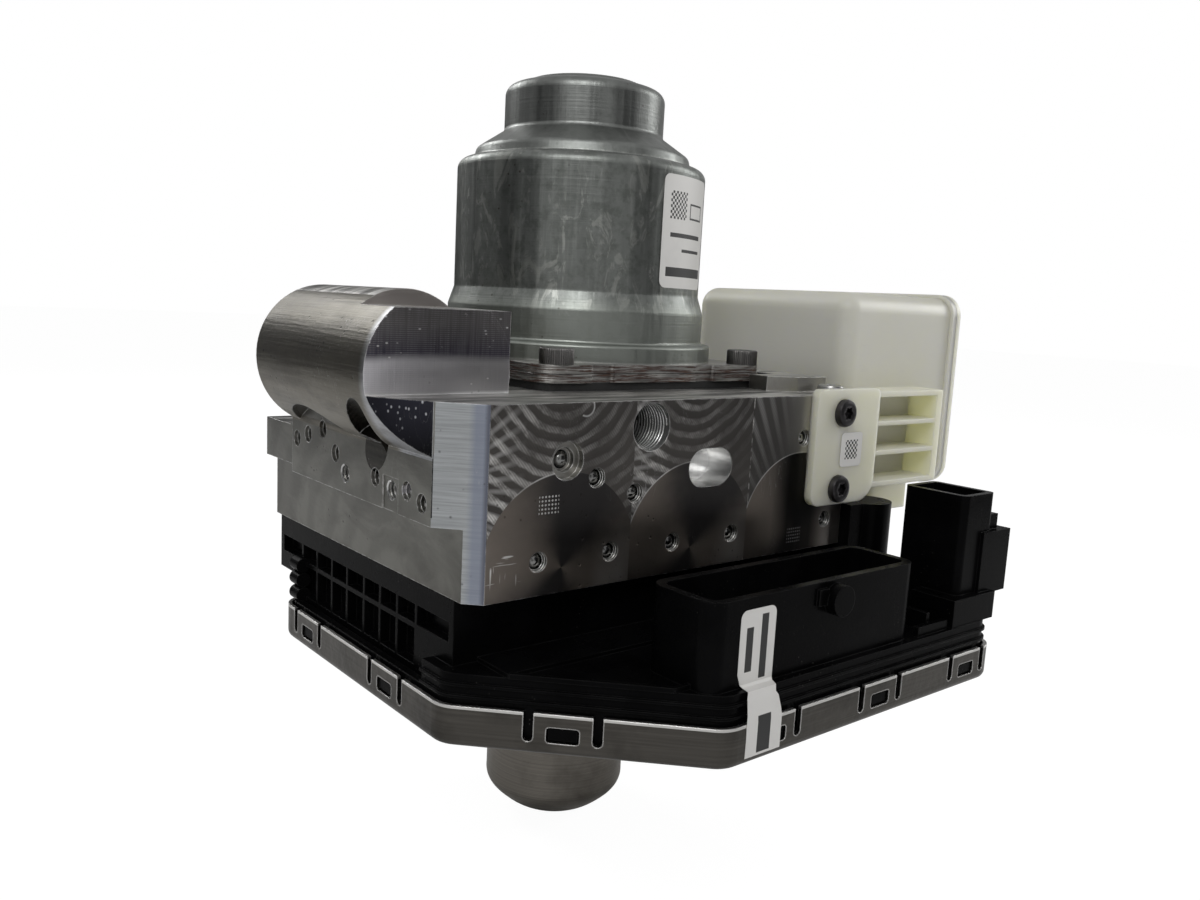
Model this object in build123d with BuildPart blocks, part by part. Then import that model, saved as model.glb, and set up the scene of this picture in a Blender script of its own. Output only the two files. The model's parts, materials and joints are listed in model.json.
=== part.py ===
from build123d import *
import math
import os

os.makedirs("parts", exist_ok=True)

# Frame: the motor axis meets the valve block's top face at the origin. X runs along the block's front
# face, Y away from it and Z up. Everything is in millimetres.

# Clearances
press_gap = 0.05
running_gap = 0.05
wall_gap = 0.3
label_gap = 0.02
board_gap = 0.1

# Valve block
block_left = -83.5
block_right = 62.5
block_front = -75.0
block_back = 52.0
block_height = 52.0
corner_cut = 10.3
band_step = 4.3
band_top = -32.5
shelf_top = -18.0
lug_bottom = -31.0
lug_step = 8.0
pad_height = 5.0

# Master cylinder barrel on the block's left edge, along Y
barrel_x = -83.1
barrel_z = 5.3
barrel_radius = 22.5
barrel_front = -49.1
barrel_back = 24.5
notch_back = -29.6
boss_right = -60.8
boss_top = 22.9
bulge_front = -65.0
bore_radius = 11.0
bore_end = -43.0
mouth_radius = 13.5
mouth_depth = 3.5

# Motor: the foot, the ring and the mounting plates follow the can's radius, the tops follow its shoulder
can_radius = 43.0
can_shoulder = 72.4
can_wall = 2.0
neck_radius = 27.5
ring_height = 5.8
base_step = 2.0
ring_step = 3.2
can_base_radius = can_radius + base_step
ring_radius = can_base_radius + ring_step
step_radius = can_radius - 6.2
crown_radius = neck_radius - 8.0
can_top = can_shoulder + 27.8
gasket_thickness = 2.4
sheet_thickness = 2.8
sheet_corner = 7.0
plate_x = 2 * ring_radius - 0.4
plate_y = plate_x + 2.0
screw_x = plate_x / 2 - 7.5
screw_y = plate_y / 2 - 5.0
screw_hole = 3.05
stator_bottom = 31.0
stator_top = can_shoulder - 9.4
stator_inner = 25.0
slots = 12
poles = 10

# Rotor, bearings and screw drive
hub_radius = 22.0
journal_radius = 18.5
nut_radius = 16.0
nut_top = 32.0
upper_journal_radius = 12.5
hub_bottom = -12.0
spindle_radius = 9.2
spindle_top = 66.0
guide_flats = 7.6
lower_bearing_radius = 30.0
lower_bearing_width = 12.0
upper_bearing_bottom = can_shoulder + 11.6
upper_bearing_width = 9.0
hub_top = upper_bearing_bottom + upper_bearing_width + 2.0

# Pedal simulator in the block, along Y
simulator_x = -50.0
simulator_z = -27.0
simulator_radius = 9.5
simulator_end = -35.0

# Valves, in rows on the block's underside, their seats ending just under the simulator bore
valve_columns = [block_left + 15.5, block_left + 36.5, block_right - 16.5]
valve_rows = [block_front + 25.0 * row for row in (1, 2, 3, 4)]
valve_spots = [(x, y) for x in valve_columns for y in valve_rows]
valve_spots += [(x, block_front + 23.0) for x in (-20.0, 20.0)]
sensor_spots = [(x, block_back - 14.0) for x in (-20.0, 20.0)]
valve_seat_depth = block_height + simulator_z - simulator_radius - 1.5
boss_columns = [(valve_columns[0] + valve_columns[1]) / 2, valve_columns[2] - 12.0]
boss_rows = [(valve_rows[0] + valve_rows[1]) / 2, (valve_rows[2] + valve_rows[3]) / 2]
housing_screws_at = [(x, y) for x in boss_columns for y in boss_rows]
valve_radius = 6.0
valve_dome_radius = 4.9
valve_bottom = -block_height - 16.0
coil_top = -block_height - 1.0
coil_radius = 8.0
yoke_radius = 9.2

# Control unit housing and its pan, hung under the block
frame_left = block_left - band_step
frame_right = block_right + 3.5
frame_front = block_front + 7.5
frame_back = block_back - 4.0
base_top = -block_height - 18.0
base_floor = 2.0
skirt_bottom = base_top - 16.0
pan_left = frame_left - 5.6
pan_right = block_right + 25.7
pan_front = block_front - 48.5
pan_back = block_back - 17.0
pan_cut = 52.7
pan_corner = 9.0
pan_rim = base_top - 8.0
pan_bottom = pan_rim - 11.5
pan_wall = 1.2
skirt_gap = 2.0
skirt_wall = 2.5

# Plunger pump
cylinder_radius = 25.5
cylinder_top = -22.0
cylinder_bottom = pan_bottom - 71.7
pump_bore = 16.0
pump_floor = cylinder_bottom + 11.2
plunger_radius = pump_bore - running_gap
plunger_top = -30.0
plunger_bottom = -92.0
plunger_wall = 3.5
plunger_crown = 10.0
spindle_bottom = plunger_bottom + plunger_crown

# Sockets
socket_left = -44.5
socket_right = 43.5
socket_front = pan_front + 4.5
socket_back = socket_front + 24.5
socket_top = base_top + 24.0
socket_wall = 2.5
tall_right = pan_right - 1.2
tall_left = tall_right - 18.0
tall_front = socket_front + 1.0
tall_back = tall_front + 23.0
tall_top = base_top + 41.7
tall_foot = base_top + 9.0
tall_wall = 2.0
pedestal_left = tall_left - 5.5
pedestal_front = pan_front + 2.5
pedestal_back = pedestal_front + 16.0

# Reservoir, beside the block
tank_left = block_right + 9.0
tank_right = tank_left + 66.0
tank_front = block_front + 10.0
tank_back = 12.0
tank_top = 35.0
tank_bottom = -37.0
tank_wall = 2.4
seam_radius = 7.0
flange_out = 1.5
flange_thickness = 2.6
rib_front = block_front - 2.0
bracket_left = 41.9
bracket_right = tank_left + 4.0
bracket_front = block_front - 3.0
bracket_top = 2.2
bracket_bottom = -37.0
bracket_screws_at = [(block_right - 7.0, -5.8), (block_right - 7.3, -31.6)]
outlet_spots = [(-38.0, -22.0), (-2.0, -22.0)]
grommet_radius = 8.5
outlet_radius = 5.0
grommet_depth = 10.0
grommet_collar = 2.5


def at_x(x):
    """Plane across X that faces +X, with Y and Z as its own axes."""
    return Plane.YZ.offset(x)


def at_y(y):
    """Plane across Y that faces the front, with X and Z as its own axes."""
    return Plane.XZ.offset(-y)


def at_z(z):
    """Level plane that faces up."""
    return Plane.XY.offset(z)


def bars(plane, spots, radius, length, mode=Mode.ADD):
    """Round bars, or holes, from a plane along its normal."""
    with BuildSketch(plane) as ends:
        with Locations(*spots):
            Circle(radius)
    extrude(ends.sketch, amount=length, mode=mode)


def slab(plane, low, high, length, corner=0.0, mode=Mode.ADD):
    """Block on the rectangle between two corners of a plane, along its normal."""
    middle = ((low[0] + high[0]) / 2, (low[1] + high[1]) / 2)
    width = high[0] - low[0]
    height = high[1] - low[1]
    with BuildSketch(plane) as base:
        with Locations(middle):
            if corner:
                RectangleRounded(width, height, corner)
            else:
                Rectangle(width, height)
    extrude(base.sketch, amount=length, mode=mode)


def prism(plane, points, length, mode=Mode.ADD):
    """Straight-sided block on the outline drawn through the points."""
    with BuildSketch(plane) as base:
        with BuildLine():
            Polyline(*points, close=True)
        make_face()
    extrude(base.sketch, amount=length, mode=mode)


def turned(points, x=0.0, y=0.0, mode=Mode.ADD):
    """Body of revolution about a vertical axis, from its (radius, height) outline."""
    with BuildSketch(Plane(origin=(x, y, 0), x_dir=(1, 0, 0), z_dir=(0, -1, 0))) as half:
        with BuildLine():
            Polyline(*points, close=True)
        make_face()
    revolve(half.sketch, Axis((x, y, 0), (0, 0, 1)), mode=mode)


def tube(radius, inner, bottom, top, x=0.0, y=0.0):
    """Upright tube between two heights."""
    turned([(inner, bottom), (radius, bottom), (radius, top), (inner, top)], x, y)


def barrel_turned(points, x=barrel_x, z=barrel_z, mode=Mode.ADD):
    """Body of revolution about an axis along Y, from its (y, radius) outline."""
    with BuildSketch(Plane(origin=(x, 0, z), x_dir=(0, 1, 0), z_dir=(1, 0, 0))) as half:
        with BuildLine():
            Polyline(*points, close=True)
        make_face()
    revolve(half.sketch, Axis((x, 0, z), (0, 1, 0)), mode=mode)


def ball_groove(pitch, radius, height):
    """Ring-shaped track for bearing balls, cut from the part."""
    with BuildSketch(Plane.XZ) as section:
        with Locations((pitch, height)):
            Circle(radius)
    revolve(section.sketch, Axis.Z, mode=Mode.SUBTRACT)


def coil_spring(x, z, start, length, radius, wire, turns):
    """Round-wire coil spring along Y."""
    with BuildLine() as centre_line:
        Helix(length / turns, length, radius, center=(x, start, z), direction=(0, 1, 0))
    path = centre_line.line
    with BuildSketch(Plane(origin=path @ 0, z_dir=path % 0)) as section:
        Circle(wire)
    sweep(section.sketch, path=path, is_frenet=True)


def pan_plan(plane, inset):
    """Outline of the pan, drawn in by an inset, with its front left corner cut at 45 degrees."""
    left = pan_left + inset
    right = pan_right - inset
    front = pan_front + inset
    back = pan_back - inset
    cut = pan_cut - inset * (2 - math.sqrt(2))
    with BuildSketch(plane) as plan:
        with BuildLine():
            Polyline(
                (left, back),
                (left, front + cut),
                (left + cut, front),
                (right, front),
                (right, back),
                close=True,
            )
        make_face()
        fillet(plan.vertices(), radius=max(pan_corner - inset, 1.5))
    return plan.sketch


# Holes in the block's front face, as (x, z)
ball_radius = 2.55
plug_radius = 2.6
plug_rim_radius = 2.8
front_plugs = [(-48.0, -21.1), (-33.7, -26.5), (39.5, -14.0), (44.4, -20.3)]
front_plugs += [(x, -42.6) for x in (-66.8, -41.8, -17.7, 7.6, 53.7)]
plugged_port = (-58.3, -15.7)
plugged_port_radius = 5.3
open_port = (-28.6, -7.7)
open_port_radius = 7.0
open_port_depth = 24.0
slot_left = -12.6
slot_right = 5.7
slot_top = -15.1
slot_bottom = -26.8

# Holes in the milled face under the barrel, as (y, z)
side_face = block_left - corner_cut
side_plugs = [(20.6, -21.1), (12.1, -18.6), (1.4, -15.6), (-7.7, -21.7)]
side_plugs += [(-33.6, -24.6), (-51.8, -25.3), (-59.7, -27.2)]
side_threads = [(-14.7, -26.7), (-42.8, -26.7)]
side_thread_radius = 2.75
side_thread_depth = 15.0
rear_threads = [(x, z) for x in (-30.0, 50.0) for z in (-42.0, -10.0)]
rear_thread_radius = 3.4
rear_thread_depth = 14.0
pad_screw_spot = [(block_right - 5.0, block_front + 5.0)]
arch_radius = 30.0
arch_spot = (-0.5, -37.9)
graze_radius = 6.2
plug_depth = 6.4
seal_rings = [-25.0, 6.0]
seal_width = 2.6
seal_radius = 13.0

# Valve block, with the master cylinder barrel and the boss in one piece
with BuildPart() as valve_block:
    # Lower storey, with the band that stands out on the left
    prism(
        at_z(-block_height),
        [
            (block_left, block_front),
            (block_right, block_front),
            (block_right, block_back),
            (block_left - band_step, block_back),
            (block_left - band_step, block_front + band_step),
        ],
        block_height + band_top,
    )
    # Upper storey, with the milled face under the barrel
    prism(
        at_z(band_top),
        [
            (block_left, block_front),
            (block_right, block_front),
            (block_right, block_back),
            (block_left, block_back),
            (block_left, barrel_back),
            (side_face, barrel_back),
            (side_face, block_front + corner_cut),
        ],
        -band_top,
    )
    slab(
        at_z(shelf_top),
        (side_face, barrel_back),
        (boss_right, block_back),
        -shelf_top,
        mode=Mode.SUBTRACT,
    )
    slab(
        at_z(lug_bottom),
        (block_left - lug_step, barrel_back),
        (block_left, block_back),
        shelf_top - lug_bottom,
    )
    # Barrel and boss
    bars(at_y(barrel_back), [(barrel_x, barrel_z)], barrel_radius, barrel_back - barrel_front)
    slab(at_y(barrel_back), (barrel_x, -1), (boss_right, boss_top), barrel_back - barrel_front)
    slab(
        at_y(notch_back),
        (barrel_x - barrel_radius, boss_top),
        (boss_right, boss_top + barrel_radius),
        notch_back - barrel_front,
        mode=Mode.SUBTRACT,
    )
    # The barrel's lower half runs on to the front, up to an oblique facet
    with BuildSketch(at_y(barrel_front)) as bulge:
        with Locations((barrel_x, barrel_z)):
            Circle(barrel_radius)
        with Locations((barrel_x, barrel_radius)):
            Rectangle(2 * barrel_radius + 2, 2 * barrel_radius, mode=Mode.SUBTRACT)
        with Locations((barrel_x + barrel_radius, -barrel_radius)):
            Rectangle(2 * barrel_radius, 2 * barrel_radius, mode=Mode.SUBTRACT)
    extrude(bulge.sketch, amount=barrel_front - bulge_front)
    prism(
        at_z(-block_height),
        [
            (side_face - 0.2, bulge_front),
            (side_face - 11.5, barrel_front),
            (side_face - 14.0, barrel_front),
            (side_face - 14.0, bulge_front),
        ],
        block_height,
        mode=Mode.SUBTRACT,
    )
    # Stepped master cylinder bore, open at the back, with grooves for its seals
    axis_spot = [(barrel_x, barrel_z)]
    bars(at_y(bore_end), axis_spot, bore_radius + running_gap, bore_end - barrel_back, mode=Mode.SUBTRACT)
    for y in seal_rings:
        bars(at_y(y), axis_spot, seal_radius, seal_width, mode=Mode.SUBTRACT)
    bars(at_y(barrel_back), axis_spot, mouth_radius, mouth_depth, mode=Mode.SUBTRACT)
    # Pads on the top face at the front right corner
    prism(
        at_z(0),
        [
            (37.5, -59.0),
            (47.5, -64.0),
            (block_right, -64.0),
            (block_right, -15.0),
            (plate_x / 2 + 2, -15.0),
            (plate_x / 2 + 2, -plate_y / 2 - 2),
            (37.5, -plate_y / 2 - 2),
        ],
        pad_height,
    )
    # Motor side: bearing seat, pump cylinder seat and the passage between them
    bars(at_z(0), [(0, 0)], lower_bearing_radius + press_gap, -lower_bearing_width, mode=Mode.SUBTRACT)
    bars(at_z(0), [(0, 0)], cylinder_radius - 1.5, cylinder_top, mode=Mode.SUBTRACT)
    seat_height = block_height + cylinder_top
    bars(at_z(-block_height), [(0, 0)], cylinder_radius + press_gap, seat_height, mode=Mode.SUBTRACT)
    motor_screw_spots = [(x, y) for x in (-screw_x, screw_x) for y in (-screw_y, screw_y)]
    bars(at_z(0), motor_screw_spots, screw_hole, -15.0, mode=Mode.SUBTRACT)
    bars(at_z(0), pad_screw_spot, 2.55, -3.0, mode=Mode.SUBTRACT)
    # Front face: ports, slot and drilled channels
    bars(at_y(block_front), front_plugs, plug_radius, -plug_depth, mode=Mode.SUBTRACT)
    bars(at_y(block_front), front_plugs, plug_rim_radius, -0.8, mode=Mode.SUBTRACT)
    bars(at_y(block_front), [plugged_port], plugged_port_radius, -2.0, mode=Mode.SUBTRACT)
    bars(at_y(block_front), [plugged_port], 3.4, -3.6, mode=Mode.SUBTRACT)
    bars(at_y(block_front), [plugged_port], plug_radius, -7.6, mode=Mode.SUBTRACT)
    bars(at_y(block_front), [open_port], open_port_radius, -open_port_depth, mode=Mode.SUBTRACT)
    slab(
        at_y(block_front),
        (slot_left, slot_bottom),
        (slot_right, slot_top),
        -10.0,
        corner=(slot_top - slot_bottom) / 2 - 0.01,
        mode=Mode.SUBTRACT,
    )
    bars(at_y(block_front), bracket_screws_at, 2.55, -12.0, mode=Mode.SUBTRACT)
    # Milled side face: plugged channels, two threaded holes and a shallow recess round one of them
    slab(at_x(side_face), (-47.0, -33.0), (-38.0, -23.0), 0.4, mode=Mode.SUBTRACT)
    bars(at_x(side_face), side_plugs, plug_radius, plug_depth, mode=Mode.SUBTRACT)
    bars(at_x(side_face), side_threads, side_thread_radius, side_thread_depth, mode=Mode.SUBTRACT)
    # Arch that the round cutter left in the barrel, and the oblique drill hole beside it
    bars(at_x(side_face), [arch_spot], arch_radius, -20.0, mode=Mode.SUBTRACT)
    oblique = Plane(origin=(-112.0, -42.7, -4.1), z_dir=(1.0, 0.47, -0.63))
    bars(oblique, [(0, 0)], graze_radius, 21.6, mode=Mode.SUBTRACT)
    # Back face: mounting threads and the simulator bore
    bars(at_y(block_back), rear_threads, rear_thread_radius, rear_thread_depth, mode=Mode.SUBTRACT)
    bars(
        at_y(block_back),
        [(simulator_x, simulator_z)],
        simulator_radius + running_gap,
        block_back - simulator_end,
        mode=Mode.SUBTRACT,
    )
    # Underside: seats of the valves and the pressure sensors, threads for the control unit
    seats = valve_spots + sensor_spots
    bars(at_z(-block_height), seats, valve_radius + press_gap, valve_seat_depth, mode=Mode.SUBTRACT)
    bars(at_z(-block_height), housing_screws_at, 2.05, 11.0, mode=Mode.SUBTRACT)
    # Right face: seats of the reservoir's grommets
    bars(at_x(block_right), outlet_spots, grommet_radius + press_gap, -grommet_depth, mode=Mode.SUBTRACT)
valve_block.part.label = "valve_block"
export_step(valve_block.part, "parts/valve_block.step")

# Balls pressed into the drilled channels
with BuildPart() as ball_plugs:
    for x, z in front_plugs + [plugged_port]:
        depth = 4.8 if (x, z) == plugged_port else 3.4
        with Locations((x, block_front + depth, z)):
            Sphere(ball_radius)
    for y, z in side_plugs:
        with Locations((side_face + 3.6, y, z)):
            Sphere(ball_radius)
ball_plugs.part.label = "ball_plugs"
export_step(ball_plugs.part, "parts/ball_plugs.step")

# Gasket under the motor
with BuildPart() as motor_gasket:
    with BuildSketch(at_z(0)):
        RectangleRounded(plate_x - 1, plate_y - 2, sheet_corner)
        Circle(lower_bearing_radius + 1, mode=Mode.SUBTRACT)
        with Locations(*motor_screw_spots):
            Circle(screw_hole, mode=Mode.SUBTRACT)
    extrude(amount=gasket_thickness)
motor_gasket.part.label = "motor_gasket"
export_step(motor_gasket.part, "parts/motor_gasket.step")

# Two sheets that carry the motor, with small notches in their front and right edges
sheet_gap = 0.2
plate_top = gasket_thickness + 2 * sheet_thickness
with BuildPart() as mounting_plates:
    for level, shrink in ((gasket_thickness, 0.0), (gasket_thickness + sheet_thickness, 0.6)):
        with BuildSketch(at_z(level)):
            RectangleRounded(plate_x - shrink, plate_y - shrink, sheet_corner)
            Circle(lower_bearing_radius, mode=Mode.SUBTRACT)
            with Locations(*motor_screw_spots):
                Circle(screw_hole, mode=Mode.SUBTRACT)
            with Locations((-26, -plate_y / 2), (18, -plate_y / 2), (-12, plate_y / 2)):
                SlotOverall(9, 2.4, mode=Mode.SUBTRACT)
        extrude(amount=sheet_thickness - sheet_gap)
mounting_plates.part.label = "mounting_plates"
export_step(mounting_plates.part, "parts/mounting_plates.step")

# Motor screws: socket heads on the plate, shanks down into the block
head_seat = plate_top - sheet_gap
head_radius = 5.3
head_height = 5.0
with BuildPart() as motor_screws:
    bars(at_z(head_seat), motor_screw_spots, head_radius, head_height)
    bars(at_z(-14.0), motor_screw_spots, screw_hole - press_gap, head_seat + 14.0)
    with BuildSketch(at_z(head_seat + head_height)):
        with Locations(*motor_screw_spots):
            RegularPolygon(2.9, 6)
    extrude(amount=-2.6, mode=Mode.SUBTRACT)
    chamfer(motor_screws.edges().group_by(Axis.Z)[-1].filter_by(GeomType.CIRCLE), length=0.5)
motor_screws.part.label = "motor_screws"
export_step(motor_screws.part, "parts/motor_screws.step")

# Drawn motor can: flange ring, wide foot, body, two shoulders, neck and end disc
can_foot = head_seat
ring_top = can_foot + ring_height
with BuildPart() as motor_can:
    with BuildSketch(Plane.XZ) as can_half:
        with BuildLine():
            Polyline(
                (can_base_radius - can_wall, can_foot),
                (ring_radius, can_foot),
                (ring_radius, ring_top),
                (can_base_radius, ring_top),
                (can_base_radius, 24.0),
                (can_radius, 30.0),
                (can_radius, can_shoulder),
                (step_radius + 0.8, can_shoulder + 0.9),
                (step_radius, can_shoulder + 4.2),
                (neck_radius, can_shoulder + 10.5),
                (neck_radius, can_top - 2.6),
                (crown_radius + 0.8, can_top - 0.9),
                (crown_radius, can_top),
                (0, can_top),
                (0, can_top - can_wall),
                (crown_radius - 1.6, can_top - can_wall),
                (neck_radius - can_wall, can_top - can_wall - 2.2),
                (neck_radius - can_wall, can_shoulder + 9.4),
                (step_radius - can_wall, can_shoulder + 3.1),
                (step_radius - can_wall + 0.6, can_shoulder - 1.0),
                (can_radius - can_wall - 1.5, can_shoulder - 1.6),
                (can_radius - can_wall, can_shoulder - 3.2),
                (can_radius - can_wall, 30.4),
                (can_base_radius - can_wall, 24.4),
                close=True,
            )
        make_face()
        for radius, spot in (
            (1.2, (ring_radius, ring_top)),
            (1.0, (can_base_radius, ring_top)),
            (2.5, (can_base_radius, 24.0)),
            (2.5, (can_radius, 30.0)),
            (3.5, (can_radius, can_shoulder)),
            (0.6, (step_radius + 0.8, can_shoulder + 0.9)),
            (2.4, (step_radius, can_shoulder + 4.2)),
            (1.8, (neck_radius, can_shoulder + 10.5)),
            (3.6, (neck_radius, can_top - 2.6)),
            (0.8, (crown_radius + 0.8, can_top - 0.9)),
            (0.7, (crown_radius, can_top)),
        ):
            fillet(can_half.vertices().sort_by_distance(spot)[0], radius)
    revolve(can_half.sketch, Axis.Z)
motor_can.part.label = "motor_can"
export_step(motor_can.part, "parts/motor_can.step")

# Stator: yoke ring, teeth with shoes, and a coil round each tooth
stator_outer = can_radius - can_wall - press_gap
yoke_inner = can_radius - 6.0
tooth_width = 7.0
shoe_top = 27.0
coil_inner = 28.5
coil_outer = yoke_inner - 1.0
coil_width = 12.4
coil_overhang = 4.0
with BuildPart() as stator_core:
    with BuildSketch(at_z(stator_bottom)):
        Circle(stator_outer)
        Circle(yoke_inner, mode=Mode.SUBTRACT)
        with PolarLocations((yoke_inner + stator_inner) / 2, slots):
            Rectangle(yoke_inner - stator_inner, tooth_width)
        with PolarLocations(shoe_top - 1.2, slots):
            Rectangle(2.2, tooth_width + 4)
        Circle(stator_inner, mode=Mode.SUBTRACT)
    extrude(amount=stator_top - stator_bottom)
stator_core.part.label = "stator_core"
export_step(stator_core.part, "parts/stator_core.step")

with BuildPart() as stator_coils:
    with BuildSketch(at_z(stator_bottom - coil_overhang)):
        with PolarLocations((coil_inner + coil_outer) / 2, slots):
            Rectangle(coil_outer - coil_inner, coil_width)
    extrude(amount=stator_top - stator_bottom + 2 * coil_overhang)
    with BuildSketch(at_z(stator_bottom - press_gap)):
        with PolarLocations((coil_inner + coil_outer) / 2, slots):
            Rectangle(coil_outer - coil_inner + 1, tooth_width + 2 * press_gap)
    extrude(amount=stator_top - stator_bottom + 2 * press_gap, mode=Mode.SUBTRACT)
stator_coils.part.label = "stator_coils"
export_step(stator_coils.part, "parts/stator_coils.step")

# Rotor hub: journal in the lower bearing, drum for the magnets, long neck into the upper bearing
spindle_room = spindle_radius + 1.3
with BuildPart() as rotor_hub:
    turned(
        [
            (nut_radius, hub_bottom),
            (journal_radius, hub_bottom),
            (journal_radius, 8.0),
            (hub_radius, 20.0),
            (hub_radius, stator_top + 2),
            (upper_journal_radius + 2, stator_top + 10),
            (upper_journal_radius + 2, upper_bearing_bottom),
            (upper_journal_radius, upper_bearing_bottom),
            (upper_journal_radius, hub_top),
            (spindle_room, hub_top),
            (spindle_room, nut_top),
            (nut_radius, nut_top),
        ]
    )
rotor_hub.part.label = "rotor_hub"
export_step(rotor_hub.part, "parts/rotor_hub.step")

magnet_radius = 24.3
with BuildPart() as rotor_magnets:
    with BuildSketch(at_z(stator_bottom)):
        Circle(magnet_radius)
        Circle(hub_radius, mode=Mode.SUBTRACT)
        with PolarLocations(hub_radius, poles):
            Rectangle(6, 1.6, mode=Mode.SUBTRACT)
    extrude(amount=stator_top - stator_bottom)
rotor_magnets.part.label = "rotor_magnets"
export_step(rotor_magnets.part, "parts/rotor_magnets.step")

# Ball bearings: the lower one in the block, the upper one in the can's neck
lower_inner_race = 22.0
lower_outer_race = 26.5
lower_pitch = (lower_inner_race + lower_outer_race) / 2
lower_middle = -lower_bearing_width / 2
lower_ball = 3.1
upper_inner_race = 16.0
upper_outer_race = 22.0
upper_pitch = (upper_inner_race + upper_outer_race) / 2
upper_middle = upper_bearing_bottom + upper_bearing_width / 2
upper_ball = 3.4
ball_gap = 0.3
with BuildPart() as lower_bearing_outer:
    tube(lower_bearing_radius, lower_outer_race, -lower_bearing_width, 0)
    ball_groove(lower_pitch, lower_ball + ball_gap, lower_middle)
lower_bearing_outer.part.label = "lower_bearing_outer"
export_step(lower_bearing_outer.part, "parts/lower_bearing_outer.step")

with BuildPart() as lower_bearing_inner:
    tube(lower_inner_race, journal_radius, -lower_bearing_width, 0)
    ball_groove(lower_pitch, lower_ball + ball_gap, lower_middle)
lower_bearing_inner.part.label = "lower_bearing_inner"
export_step(lower_bearing_inner.part, "parts/lower_bearing_inner.step")

with BuildPart() as lower_bearing_balls:
    with Locations((0, 0, lower_middle)):
        with PolarLocations(lower_pitch, 12):
            Sphere(lower_ball)
lower_bearing_balls.part.label = "lower_bearing_balls"
export_step(lower_bearing_balls.part, "parts/lower_bearing_balls.step")

with BuildPart() as upper_bearing_outer:
    tube(
        neck_radius - can_wall - press_gap,
        upper_outer_race,
        upper_bearing_bottom,
        upper_bearing_bottom + upper_bearing_width,
    )
    ball_groove(upper_pitch, upper_ball + ball_gap, upper_middle)
upper_bearing_outer.part.label = "upper_bearing_outer"
export_step(upper_bearing_outer.part, "parts/upper_bearing_outer.step")

with BuildPart() as upper_bearing_inner:
    tube(
        upper_inner_race,
        upper_journal_radius,
        upper_bearing_bottom,
        upper_bearing_bottom + upper_bearing_width,
    )
    ball_groove(upper_pitch, upper_ball + ball_gap, upper_middle)
upper_bearing_inner.part.label = "upper_bearing_inner"
export_step(upper_bearing_inner.part, "parts/upper_bearing_inner.step")

with BuildPart() as upper_bearing_balls:
    with Locations((0, 0, upper_middle)):
        with PolarLocations(upper_pitch, 9):
            Sphere(upper_ball)
upper_bearing_balls.part.label = "upper_bearing_balls"
export_step(upper_bearing_balls.part, "parts/upper_bearing_balls.step")

# Screw drive: the nut turns, the spindle slides, and a hexagonal rod keeps it from turning
with BuildPart() as ball_nut:
    tube(nut_radius, spindle_radius + running_gap, hub_bottom, nut_top)
ball_nut.part.label = "ball_nut"
export_step(ball_nut.part, "parts/ball_nut.step")

foot_radius = plunger_radius - plunger_wall - 0.15
shank_start = spindle_bottom + 12.0
foot_height = 4.0
with BuildPart() as screw_spindle:
    bars(at_z(spindle_bottom), [(0, 0)], foot_radius, foot_height)
    bars(at_z(spindle_bottom), [(0, 0)], spindle_radius, spindle_top - spindle_bottom)
    with BuildSketch(at_z(shank_start)):
        RegularPolygon(guide_flats / 2 + 0.2, 6, major_radius=False)
    extrude(amount=spindle_top - shank_start, mode=Mode.SUBTRACT)
screw_spindle.part.label = "screw_spindle"
export_step(screw_spindle.part, "parts/screw_spindle.step")

rod_flange = can_top - can_wall - 2.2
rod_foot = -10.0
with BuildPart() as guide_rod:
    bars(at_z(rod_flange), [(0, 0)], upper_journal_radius - 0.5, can_top - can_wall - rod_flange)
    with BuildSketch(at_z(rod_foot)):
        RegularPolygon(guide_flats / 2, 6, major_radius=False)
    extrude(amount=rod_flange - rod_foot)
guide_rod.part.label = "guide_rod"
export_step(guide_rod.part, "parts/guide_rod.step")

# Pump cylinder: seated in the block, through the control unit, with a rounded closed end
pump_seals = [plunger_bottom + 4.0, plunger_bottom - 2.0]
pump_seal_radius = pump_bore + 2.4
pump_seal_width = 2.8
# The rounded end, as shares of the radius and heights over the bottom
cylinder_end = [(1.0, 14.0), (0.965, 10.0), (0.847, 6.6), (0.667, 3.0), (0.373, 0.2), (0.251, 0.0)]
with BuildPart() as plunger_cylinder:
    with BuildSketch(Plane.XZ):
        end_points = [(cylinder_radius * share, cylinder_bottom + rise) for share, rise in cylinder_end]
        with BuildLine():
            Line((pump_bore, cylinder_top), (cylinder_radius, cylinder_top))
            Line((cylinder_radius, cylinder_top), end_points[0])
            Spline(*end_points)
            Line(end_points[-1], (0, cylinder_bottom))
            Line((0, cylinder_bottom), (0, pump_floor))
            Line((0, pump_floor), (pump_bore, pump_floor))
            Line((pump_bore, pump_floor), (pump_bore, cylinder_top))
        make_face()
    revolve(axis=Axis.Z)
    for level in pump_seals:
        bars(at_z(level), [(0, 0)], pump_seal_radius, pump_seal_width, mode=Mode.SUBTRACT)
plunger_cylinder.part.label = "plunger_cylinder"
export_step(plunger_cylinder.part, "parts/plunger_cylinder.step")

with BuildPart() as plunger_seals:
    for level in pump_seals:
        tube(pump_seal_radius, pump_bore, level, level + pump_seal_width)
plunger_seals.part.label = "plunger_seals"
export_step(plunger_seals.part, "parts/plunger_seals.step")

with BuildPart() as plunger:
    bars(at_z(plunger_bottom), [(0, 0)], plunger_radius, plunger_top - plunger_bottom)
    bars(
        at_z(spindle_bottom),
        [(0, 0)],
        plunger_radius - plunger_wall,
        plunger_top - spindle_bottom,
        mode=Mode.SUBTRACT,
    )
plunger.part.label = "plunger"
export_step(plunger.part, "parts/plunger.step")

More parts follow.
